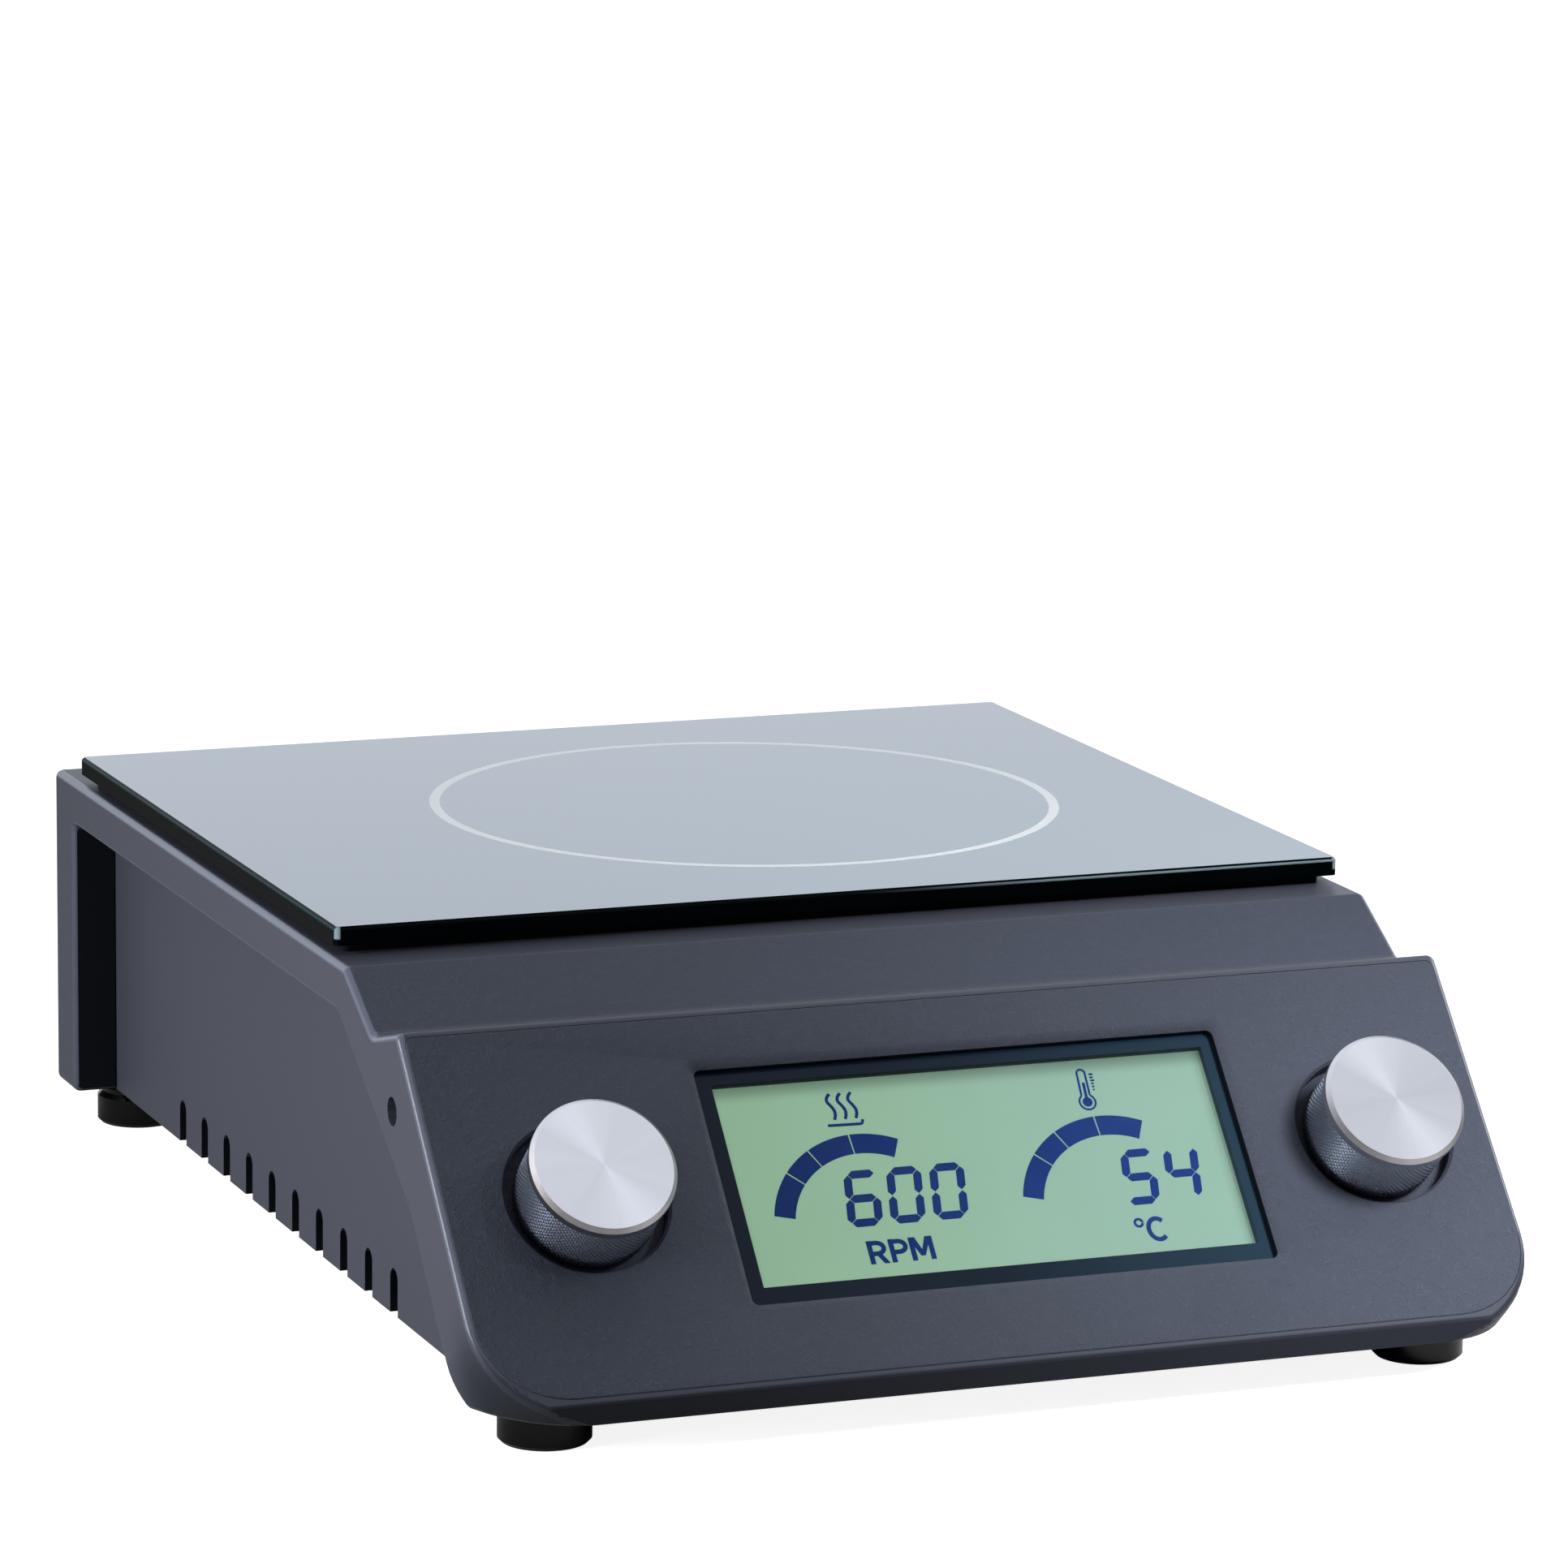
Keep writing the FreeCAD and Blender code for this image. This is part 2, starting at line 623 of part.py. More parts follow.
def make_base_tub():
    nose_y = recess_outline(TUB_OVERLAP)[0][0][0] + FIT_GAP
    nose = HALF - NOSE_INSET - FIT_GAP
    front, rear = FRONT + WALL + FIT_GAP, REAR - WALL - FIT_GAP
    plan = [(-nose, front), (nose, front), (nose, nose_y), (TUB_OUT, nose_y), (TUB_OUT, rear), (-TUB_OUT, rear),
            (-TUB_OUT, nose_y), (-nose, nose_y)]
    tub = plan_prism([(point, 0) for point in plan], BASE, FLOOR)
    limit = side_prism([(point, 0) for point in inner_outline(FIT_GAP)], -HALF, HALF)
    wall = side_prism(recess_outline(TUB_OVERLAP - FIT_GAP), TUB_IN, TUB_OUT).common(limit)
    bosses = [rod(place, SCREW_HEAD + 1, BASE, FLOOR + 5) for place in foot_places().values()]
    pillars = [rod(place, PILLAR_RADIUS, BASE, FLOOR + PILLAR_HEIGHT) for place in pillar_places()]
    tub = tub.common(limit).fuse(both_sides(wall) + bosses + pillars)
    cuts = [box(-HALF, HALF, FRONT, REAR, 0, BASE)]
    slot_top = BASE + VENT_HEIGHT - VENT_WIDTH / 2
    for i in range(VENT_COUNT):
        y = COLUMN_IN - VENT_START - i * VENT_PITCH
        slot = box(TUB_IN - 0.5, TUB_OUT + 1, y - VENT_WIDTH / 2, y + VENT_WIDTH / 2, BASE - 1, slot_top)
        arch = rod_along(V(1, 0, 0), V(TUB_IN - 0.5, y, slot_top), VENT_WIDTH / 2, TUB_WALL + 1.5)
        cuts += both_sides(slot.fuse(arch).removeSplitter())
    for place in foot_places().values():
        cuts.append(rod(place, SCREW_RADIUS, BASE - 1, FLOOR + 6))
    for place in post_places():
        cuts.append(rod(place, SCREW_RADIUS, BASE - 1, FLOOR + 1))
    for place in bracket_screw_places() + pillar_places():
        cuts.append(rod(place, SCREW_RADIUS, BASE + 0.6, FLOOR + PILLAR_HEIGHT + 1))
    add("base_tub", tub.cut(cuts).removeSplitter())


def make_feet():
    screws = []
    for name, place in foot_places().items():
        seat = FOOT_HEIGHT / 2
        profile = [((0, 0), 0), ((FOOT_RADIUS - 0.8, 0), 0), ((FOOT_RADIUS, 0.8), 0), ((FOOT_RADIUS, BASE - 2), 0),
                   ((FOOT_RADIUS - FOOT_NECK, BASE - 1), 0), ((FOOT_RADIUS - FOOT_NECK, BASE), 0), ((0, BASE), 0)]
        corners = [(V(x, 0, z), radius) for (x, z), radius in profile]
        foot = Part.Face(rounded_wire(corners)).revolve(V(0, 0, 0), V(0, 0, 1), 360)
        foot.translate(place)
        foot = foot.cut([rod(place, SCREW_RADIUS + FIT_GAP, -1, BASE + 1), rod(place, SCREW_HEAD + FIT_GAP, -1, seat)])
        add(name, foot)
        screws.append(screw(place, seat, FLOOR + 5, seat - SCREW_HEAD_HEIGHT))
    add("foot_screws", Part.makeCompound(screws))
    holders = [screw(place, BASE, FLOOR + SCREW_BITE - 0.5, BASE - SCREW_HEAD_HEIGHT) for place in post_places()]
    add("housing_screws", Part.makeCompound(holders))


def make_glass():
    glass = plan_rect(-GLASS_HALF, GLASS_HALF, GLASS_FRONT, GLASS_REAR, GLASS_CORNER, GLASS_LOW, GLASS_TOP)
    rim = [edge for edge in glass.Edges if min(vertex.Point.z for vertex in edge.Vertexes) > GLASS_TOP - 1e-3]
    add("glass_top", glass.makeChamfer(GLASS_BEVEL, rim))
    half, front, rear = GLASS_HALF - SEAL_INSET, GLASS_FRONT + SEAL_INSET, GLASS_REAR - SEAL_INSET
    seal = plan_rect(-half, half, front, rear, GLASS_CORNER, DECK, GLASS_LOW)
    band = SEAL_BAND
    window = plan_rect(-half + band, half - band, front + band, rear - band, GLASS_CORNER, DECK - 1, GLASS_LOW + 1)
    add("glass_seal", seal.cut([window, rod(ZONE, PAN_RADIUS + FIT_GAP, DECK - 1, GLASS_LOW + 1)]))


def make_heater():
    pan = rod(ZONE, PAN_RADIUS, PAN_LOW, PAN_TOP).cut(rod(ZONE, PAN_RADIUS - PAN_SKIN, LINER_LOW, PAN_TOP + 1))
    liner = rod(ZONE, LINER_RADIUS, LINER_LOW, LINER_TOP)
    liner = liner.cut(rod(ZONE, LINER_RADIUS - LINER_RIM, LINER_DISH, LINER_TOP + 1))
    notch_half = LIMITER_ROD + FIT_GAP
    notch = box(ZONE.x - PAN_RADIUS - 1, ZONE.x, ZONE.y - notch_half, ZONE.y + notch_half, ROD_Z - notch_half, DECK + 2)
    add("heater_pan", pan.cut(notch))
    add("heater_liner", liner.cut(notch))

    # One ribbon laid as rings that are split on one side and joined in turn across the split
    rings = []
    for i in range(COIL_RINGS):
        radius = COIL_INNER + i * COIL_PITCH
        ring = rod(ZONE, radius + COIL_BAND, LINER_DISH, LINER_DISH + COIL_HEIGHT)
        rings.append(ring.cut(rod(ZONE, radius, LINER_DISH - 1, LINER_DISH + COIL_HEIGHT + 1)))
    reach = COIL_INNER + COIL_RINGS * COIL_PITCH
    split = box(ZONE.x, ZONE.x + reach, ZONE.y - COIL_SPLIT / 2, ZONE.y + COIL_SPLIT / 2, 0, DECK)
    links = []
    for i in range(COIL_RINGS - 1):
        side = 1 if i % 2 == 0 else -1
        y0 = ZONE.y + side * COIL_SPLIT / 2
        y1 = y0 + side * COIL_BAND
        inner = ZONE.x + COIL_INNER + i * COIL_PITCH
        outer = inner + COIL_PITCH + COIL_BAND / 2
        links.append(box(inner, outer, min(y0, y1), max(y0, y1), LINER_DISH, LINER_DISH + COIL_HEIGHT))
    add("heater_coil", union([ring.cut(split) for ring in rings] + links))

    start = ZONE.x - PAN_RADIUS - 2
    end = ZONE.x + LINER_RADIUS - LINER_RIM - 2
    probe = rod_along(V(1, 0, 0), V(start - 1, ZONE.y, ROD_Z), LIMITER_ROD, end - start + 1)
    head_top = CEILING - FIT_GAP
    half = LIMITER_WIDTH / 2
    head = box(start - LIMITER_HEAD, start, ZONE.y - half, ZONE.y + half, ROD_Z - half, head_top)
    add("heat_limiter", head.fuse(probe).removeSplitter())

    # Strap under the pan, hung from pads below the deck
    half = STRAP_WIDTH / 2
    arm = PAN_RADIUS + STRAP_REACH
    pad_low = CEILING - STRAP_PAD
    pieces = [box(-half, half, -arm, arm, STRAP_LOW, STRAP_TOP)]
    for side in (-1, 1):
        wall_in, wall_out = side * (arm - STRAP_THICKNESS), side * arm
        tip = side * (arm + STRAP_FOOT)
        pieces.append(box(-half, half, min(wall_in, wall_out), max(wall_in, wall_out), STRAP_LOW, pad_low))
        pieces.append(box(-half, half, min(wall_in, tip), max(wall_in, tip), pad_low - STRAP_THICKNESS, pad_low))
    strap = union(pieces)
    strap.translate(ZONE)
    strap = strap.cut([rod(place, SCREW_RADIUS, STRAP_TOP, CEILING) for place in strap_screw_places()])
    add("heater_strap", strap)
    seat = pad_low - STRAP_THICKNESS
    for place in strap_screw_places():
        inner_screws.append(screw(place, seat, CEILING, seat - SCREW_HEAD_HEIGHT))

    shield = rod(ZONE, SHIELD_RADIUS, SHIELD_LOW, SHIELD_TOP)
    pips = []
    for dx in (-half / 2, half / 2):
        for dy in (-SHIELD_RADIUS * 0.75, SHIELD_RADIUS * 0.75):
            pips.append(rod(ZONE + V(dx, dy, 0), half / 4, SHIELD_TOP - 0.5, STRAP_LOW))
    add("heat_shield", shield.fuse(pips).removeSplitter())


def bracket_screw_places():
    reach = MOTOR_RADIUS + 2 * BRACKET_THICKNESS + BRACKET_FOOT / 2
    return [ZONE + V(dx, dy, 0) for dx in (-reach, reach) for dy in (-BRACKET_WIDTH / 4, BRACKET_WIDTH / 4)]


def make_stirrer():
    bore = SHAFT_RADIUS + RUNNING_GAP
    shaft_foot = MOTOR_LOW + 2
    motor = union([rod(ZONE, MOTOR_RADIUS, MOTOR_LOW, MOTOR_TOP), rod(ZONE, MOTOR_BOSS, MOTOR_TOP, BOSS_TOP)])
    ring = [edge for edge in motor.Edges if edge.Length > 6 * MOTOR_RADIUS and edge.Closed]
    motor = motor.makeChamfer(1.5, [edge for edge in ring if edge.BoundBox.ZMax < MOTOR_LOW + 1])
    motor = motor.cut(rod(ZONE, bore, shaft_foot - FIT_GAP, BOSS_TOP + 1))

    # Bridge over the motor, its legs standing on the floor
    plate_top = MOTOR_TOP + BRACKET_THICKNESS
    leg_in = MOTOR_RADIUS + BRACKET_THICKNESS
    leg_out = leg_in + BRACKET_THICKNESS
    half = BRACKET_WIDTH / 2
    pieces = [box(-leg_out, leg_out, -half, half, MOTOR_TOP, plate_top)]
    for side in (-1, 1):
        x0, x1, tip = side * leg_in, side * leg_out, side * (leg_out + BRACKET_FOOT)
        pieces.append(box(min(x0, x1), max(x0, x1), -half, half, FLOOR, plate_top))
        pieces.append(box(min(x0, tip), max(x0, tip), -half, half, FLOOR, FLOOR + BRACKET_THICKNESS))
    bracket = union(pieces)
    bracket.translate(ZONE)
    bolt_reach = (MOTOR_BOSS + MOTOR_RADIUS) / 2
    bolts = [ZONE + V(side * bolt_reach, 0, 0) for side in (-1, 1)]
    holes = [rod(place, SCREW_RADIUS, FLOOR - 1, FLOOR + BRACKET_THICKNESS + 1) for place in bracket_screw_places()]
    holes += [rod(place, SCREW_RADIUS, MOTOR_TOP - 1, plate_top + 1) for place in bolts]
    holes.append(rod(ZONE, MOTOR_BOSS + FIT_GAP, MOTOR_TOP - 1, plate_top + 1))
    add("motor_bracket", bracket.cut(holes))
    add("stir_motor", motor.cut([rod(place, SCREW_RADIUS, MOTOR_TOP - 5, MOTOR_TOP + 1) for place in bolts]))
    for place in bolts:
        inner_screws.append(screw(place, plate_top, MOTOR_TOP - 4.5, plate_top + SCREW_HEAD_HEIGHT))
    foot_top = FLOOR + BRACKET_THICKNESS
    for place in bracket_screw_places():
        inner_screws.append(screw(place, foot_top, BASE + 0.6, foot_top + SCREW_HEAD_HEIGHT))

    shaft_top = MAGNET_LOW - 1
    add("stir_shaft", rod(ZONE, SHAFT_RADIUS, shaft_foot, shaft_top))
    carrier = union([rod(ZONE, HUB_RADIUS, HUB_LOW, CARRIER_LOW), rod(ZONE, CARRIER_RADIUS, CARRIER_LOW, MAGNET_LOW + 3)])
    carrier = carrier.cut([rod(ZONE, CARRIER_RADIUS - CARRIER_RIM, MAGNET_LOW, MAGNET_TOP),
                           rod(ZONE, SHAFT_RADIUS, HUB_LOW - 1, shaft_top)])
    add("magnet_carrier", carrier)
    magnets = [rod(ZONE + V(side * MAGNET_REACH, 0, 0), MAGNET_RADIUS, MAGNET_LOW, MAGNET_TOP) for side in (-1, 1)]
    add("stir_magnets", Part.makeCompound(magnets))


def display_rect(grow, corner, h0, h1):
    half, rise = DISPLAY_HALF + grow, DISPLAY_RISE + grow
    return panel_rect(DISPLAY_X - half, DISPLAY_X + half, -rise, rise, corner, corner, h0, h1)


def make_control_panel():
    plate = panel_outline(0, -PANEL_SINK, PANEL_PROUD)
    rim = [edge for edge in plate.Edges if min(vertex.Point.z for vertex in edge.Vertexes) > PANEL_PROUD - 1e-3]
    plate = plate.makeFillet(PANEL_RIM, rim)
    lens_grow = LENS_LAP - DISPLAY_BEVEL
    cups = [rod(V(x, 0, 0), WELL_RADIUS + WELL_WALL, CUP_BACK, -PANEL_SINK) for x in KNOB_XS.values()]
    frame = display_rect(lens_grow + LENS_FRAME, DISPLAY_CORNER, LENS_BACK, -PANEL_SINK)
    plate = plate.fuse(cups + [frame])
    cuts = []
    for x in KNOB_XS.values():
        well = rod(V(x, 0, 0), WELL_RADIUS, WELL_BED, PANEL_PROUD + 1)
        lip = Part.makeCone(WELL_RADIUS, WELL_RADIUS + 0.6, 0.6, V(x, 0, PANEL_PROUD - 0.6))
        cuts += [well, lip, rod(V(x, 0, 0), BUSH_RADIUS + RUNNING_GAP, CUP_BACK - 1, WELL_BED + 1)]
    cuts.append(display_rect(-DISPLAY_BEVEL, DISPLAY_CORNER, LENS_BACK - 1, PANEL_PROUD + 1))
    cuts.append(display_rect(lens_grow + RUNNING_GAP, DISPLAY_CORNER, LENS_BACK - 1, LENS_FACE))
    top = display_rect(0, DISPLAY_CORNER, PANEL_PROUD, PANEL_PROUD + 1).Faces
    low = display_rect(-DISPLAY_BEVEL, DISPLAY_CORNER, LENS_FACE + LENS_WALL, PANEL_PROUD).Faces
    upper = min(top, key=lambda face: face.BoundBox.ZMax)
    lower = min(low, key=lambda face: face.BoundBox.ZMax)
    cuts.append(Part.makeLoft([lower.OuterWire, upper.OuterWire], True, True))
    add("control_panel", on_panel(plate.cut(cuts)))


def make_display():
    lens_grow = LENS_LAP - DISPLAY_BEVEL
    add("display_window", on_panel(display_rect(lens_grow, DISPLAY_CORNER, LENS_BACK, LENS_FACE)))
    glass = display_rect(lens_grow - LCD_INSET, DISPLAY_CORNER, LCD_BACK, LENS_BACK)
    add("lcd_glass", on_panel(glass))
    add("lcd_backlight", on_panel(display_rect(lens_grow - LCD_INSET, DISPLAY_CORNER, LIGHT_BACK, LCD_BACK)))
    spacers = []
    for side in (-1, 1):
        for up in (-1, 1):
            place = V(DISPLAY_X + side * (DISPLAY_HALF - 8), up * (DISPLAY_RISE - 6), 0)
            spacers.append(rod(place, 2.5, BOARD_FRONT, LIGHT_BACK))
    add("display_spacers", on_panel(Part.makeCompound(spacers)))
    board_half = TUB_IN - BOARD_SIDE
    low, high = PANEL_MID - FACE_LENGTH + BOARD_BOTTOM, PANEL_MID - BOARD_TOP
    board = panel_rect(-board_half, board_half, low, high, 1, 1, BOARD_BACK, BOARD_FRONT)
    add("control_board", on_panel(board))
    chips = []
    half = CHIP_SIZE / 2
    for i in range(CHIP_COUNT):
        x = DISPLAY_X - CHIP_ASIDE + i * CHIP_PITCH
        chips.append(box(x - half, x + half, -CHIP_DROP - half, half - CHIP_DROP, BOARD_BACK - CHIP_HEIGHT, BOARD_BACK))
    add("board_chips", on_panel(Part.makeCompound(chips)))


def make_knobs():
    nuts = []
    lid_low = CUP_BACK - ENCODER_LID
    bush_top = NUT_TOP + FIT_GAP - 0.1
    cavity = BUSH_BORE + 2.0
    flange_top = lid_low - RUNNING_GAP
    flange_low = flange_top - 1.4
    stem_foot = flange_low + 0.6
    skirt_low = WELL_BED + SKIRT_CLEAR
    skirt_top = KNOB_HEIGHT - CAP_THICKNESS
    hollow_top = skirt_top - 4.0
    stem_top = skirt_top - 1.5
    skirt_radius = KNOB_RADIUS - SKIRT_STEP
    half = ENCODER_SIZE / 2
    for side, x in KNOB_XS.items():
        at = V(x, 0, 0)
        body = box(x - half, x + half, -half, half, BOARD_FRONT, CUP_BACK)
        body = body.fuse(rod(at, BUSH_RADIUS, CUP_BACK - 0.5, bush_top)).removeSplitter()
        body = body.cut([rod(at, BUSH_BORE, lid_low - 1, bush_top + 1),
                         rod(at, cavity, BOARD_FRONT + ENCODER_FLOOR, lid_low)])
        add("encoder_" + side, on_panel(body))
        nut = hexagon(at, NUT_AF, WELL_BED, NUT_TOP).cut(rod(at, BUSH_RADIUS + RUNNING_GAP, WELL_BED - 1, NUT_TOP + 1))
        nuts.append(nut)

        plunger = rod(at, PLUNGER_RADIUS, flange_low, HUB_BED - 0.15)
        plunger = plunger.fuse(rod(at, cavity - 0.6, flange_low, flange_top)).removeSplitter()
        plunger = plunger.cut(rod(at, STEM_RADIUS + RUNNING_GAP, stem_foot - RUNNING_GAP, HUB_BED + 1))
        add("push_plunger_" + side, on_panel(plunger))

        add("knob_stem_" + side, on_panel(rod(at, STEM_RADIUS, stem_foot, stem_top)))
        skirt = rod(at, skirt_radius, skirt_low, skirt_top)
        hollow = rod(at, skirt_radius - SKIRT_WALL, skirt_low - 1, hollow_top)
        hollow = hollow.cut(rod(at, KNOB_HUB, HUB_BED, hollow_top + 1))
        skirt = skirt.cut([hollow, rod(at, STEM_RADIUS, skirt_low - 1, stem_top)])
        add("knob_skirt_" + side, on_panel(skirt))
        cap = rod(at, KNOB_RADIUS, skirt_top, KNOB_HEIGHT)
        rim = [edge for edge in cap.Edges if edge.Closed and edge.BoundBox.ZMin > KNOB_HEIGHT - 1e-3]
        add("knob_cap_" + side, on_panel(cap.makeChamfer(CAP_CHAMFER, rim)))
    add("encoder_nuts", on_panel(Part.makeCompound(nuts)))


def make_trimmer():
    trim_y, trim_z = face_point(TRIM_ALONG, TRIM_DEPTH)
    rise = PANEL_MID - TRIM_ALONG
    half = TRIM_BODY / 2
    x0 = -TUB_IN + BOARD_SIDE
    body = on_panel(box(x0, x0 + TRIM_BODY, rise - half, rise + half, BOARD_FRONT, -TRIM_DEPTH + half))
    tip = -HALF + TRIM_SETBACK
    bore_end = x0 + TRIM_BODY - 2
    axis = V(1, 0, 0)
    body = body.cut(rod_along(axis, V(x0 - 1, trim_y, trim_z), TRIM_STEM + RUNNING_GAP, bore_end - x0 + 1))
    add("limit_trimmer", body)
    stem = rod_along(axis, V(tip, trim_y, trim_z), TRIM_STEM, bore_end - 0.2 - tip)
    slot = box(tip - 1, tip + 1.2, trim_y - TRIM_STEM - 1, trim_y + TRIM_STEM + 1, trim_z - TRIM_SLOT / 2,
               trim_z + TRIM_SLOT / 2)
    add("limit_screw", stem.cut(slot))


def power_board_box():
    front = FRONT + POWER_FRONT
    return -POWER_LENGTH / 2, POWER_LENGTH / 2, front, front + POWER_DEPTH


def pillar_places():
    x0, x1, y0, y1 = power_board_box()
    across, rear = PILLAR_INSET, TERMINAL_DEPTH + PILLAR_RADIUS + 3
    return [V(x, y, 0) for x in (x0 + across, x1 - across) for y in (y0 + across, y1 - rear)]


def lead(points, bend):
    """Round wire along straight runs joined by tangent arcs."""
    edges = []
    start = points[0]
    for i in range(1, len(points) - 1):
        before = (points[i - 1] - points[i]).normalize()
        after = (points[i + 1] - points[i]).normalize()
        half_turn = before.getAngle(after) / 2
        reach = bend / math.tan(half_turn)
        inward = (before + after).normalize()
        middle = points[i] + inward * (bend / math.sin(half_turn) - bend)
        edges.append(Part.LineSegment(start, points[i] + before * reach).toShape())
        edges.append(Part.Arc(points[i] + before * reach, middle, points[i] + after * reach).toShape())
        start = points[i] + after * reach
    edges.append(Part.LineSegment(start, points[-1]).toShape())
    way = (points[1] - points[0]).normalize()
    ring = Part.Wire([Part.makeCircle(LEAD_RADIUS, points[0], way)])
    return Part.Wire(edges).makePipeShell([ring], True, True)


def make_power():
    x0, x1, y0, y1 = power_board_box()
    low = FLOOR + PILLAR_HEIGHT
    top = low + BOARD_THICKNESS
    board = box(x0, x1, y0, y1, low, top)
    holes = [rod(place, SCREW_RADIUS, BASE, top + 1) for place in pillar_places()]
    add("power_board", board.cut(holes))
    for place in pillar_places():
        inner_screws.append(screw(place, top, BASE + 0.6, top + SCREW_HEAD_HEIGHT))

    # Transformer: laminated core with the winding's ends standing out
    cx = x0 + 2 * PILLAR_INSET + CORE_LENGTH / 2
    cy = y1 - TERMINAL_DEPTH - 4 - CORE_DEPTH / 2
    core = box(cx - CORE_LENGTH / 2, cx + CORE_LENGTH / 2, cy - CORE_DEPTH / 4, cy + CORE_DEPTH / 4, top, top + CORE_HEIGHT)
    winding = box(cx - CORE_LENGTH / 3, cx + CORE_LENGTH / 3, cy - CORE_DEPTH / 2, cy + CORE_DEPTH / 2,
                  top + 3, top + CORE_HEIGHT - 4)
    add("transformer", core.fuse(winding).removeSplitter())

    cans = []
    can_x = cx + CORE_LENGTH / 2 + CAN_RADIUS + CAN_GAP
    cans_end = can_x + 3 * CAN_RADIUS + CAN_GAP
    for i in range(2):
        can = rod(V(can_x + i * (2 * CAN_RADIUS + CAN_GAP), cy, 0), CAN_RADIUS, top, top + CAN_HEIGHT)
        rim = [edge for edge in can.Edges if edge.Closed and edge.BoundBox.ZMin > top + CAN_HEIGHT - 1e-3]
        cans.append(can.makeChamfer(1.0, rim))
    add("capacitors", Part.makeCompound(cans))

    # Heat sink: a back plate with fins, and the heater's switching device on its rear face
    sx = cans_end + SINK_GAP
    sink_length = x1 - PILLAR_INSET - SCREW_HEAD - SINK_GAP - sx
    sy = y1 - TERMINAL_DEPTH - 2
    fins = [box(sx, sx + sink_length, sy - SINK_BASE, sy, top, top + SINK_HEIGHT)]
    pitch = (sink_length - SINK_FIN) / (SINK_FINS - 1)
    for i in range(SINK_FINS):
        x = sx + i * pitch
        fins.append(box(x, x + SINK_FIN, sy - SINK_BASE - SINK_REACH, sy - SINK_BASE, top, top + SINK_HEIGHT))
    add("heat_sink", union(fins))
    mid = sx + sink_length / 2
    device = box(mid - SWITCHER_SIZE / 2, mid + SWITCHER_SIZE / 2, sy, sy + SWITCHER_THICKNESS, top, top + SINK_HEIGHT - 3)
    add("heater_switch", device)

    # Terminal block at the rear edge, straight mains leads to the inlet, bent leads to the heater's limiter
    tx = INLET_X + 3
    back = y1 + 2
    block = box(tx - TERMINAL_LENGTH / 2, tx + TERMINAL_LENGTH / 2, y1 - TERMINAL_DEPTH, back, top, top + TERMINAL_HEIGHT)
    add("terminal_block", block)
    level = BAY_Z - INLET_HEIGHT / 2 + 4
    inlet_back = BAY_FLOOR - INLET_BODY
    leads = []
    for i in (-1, 0, 1):
        start = V(INLET_X + i * LEAD_PITCH, back, level)
        leads.append(rod_along(V(0, 1, 0), start, LEAD_RADIUS, inlet_back - back))
    add("mains_leads", Part.makeCompound(leads))
    head_x = ZONE.x - PAN_RADIUS - 2 - LIMITER_HEAD / 2
    bent = []
    for i in (-1, 1):
        x = head_x + 5 + i * LEAD_PITCH / 2
        way = [V(x, ZONE.y, ROD_Z - LIMITER_WIDTH / 2), V(x, ZONE.y, level), V(x, back, level)]
        bent.append(lead(way, LEAD_BEND))
    add("heater_leads", Part.makeCompound(bent))

    # Ribbon from the back of the control board down to the power board
    front_y = y0 + 6
    along = PANEL_MID
    depth = BOARD_DEPTH + BOARD_THICKNESS
    start = face_point(along, depth)
    bend_depth = depth + (front_y - start[0]) / SIN_FACE
    bend = face_point(along, bend_depth)
    thick = RIBBON_THICKNESS
    other = face_point(along - thick, depth)
    inner_bend = (front_y + thick, face_point(along - thick, depth + (front_y + thick - other[0]) / SIN_FACE)[1])
    outline = [start, bend, (front_y, top), (front_y + thick, top), inner_bend, other]
    x = DISPLAY_X + RIBBON_ASIDE
    add("signal_ribbon", side_prism([(point, 0) for point in outline], x, x + RIBBON_WIDTH))


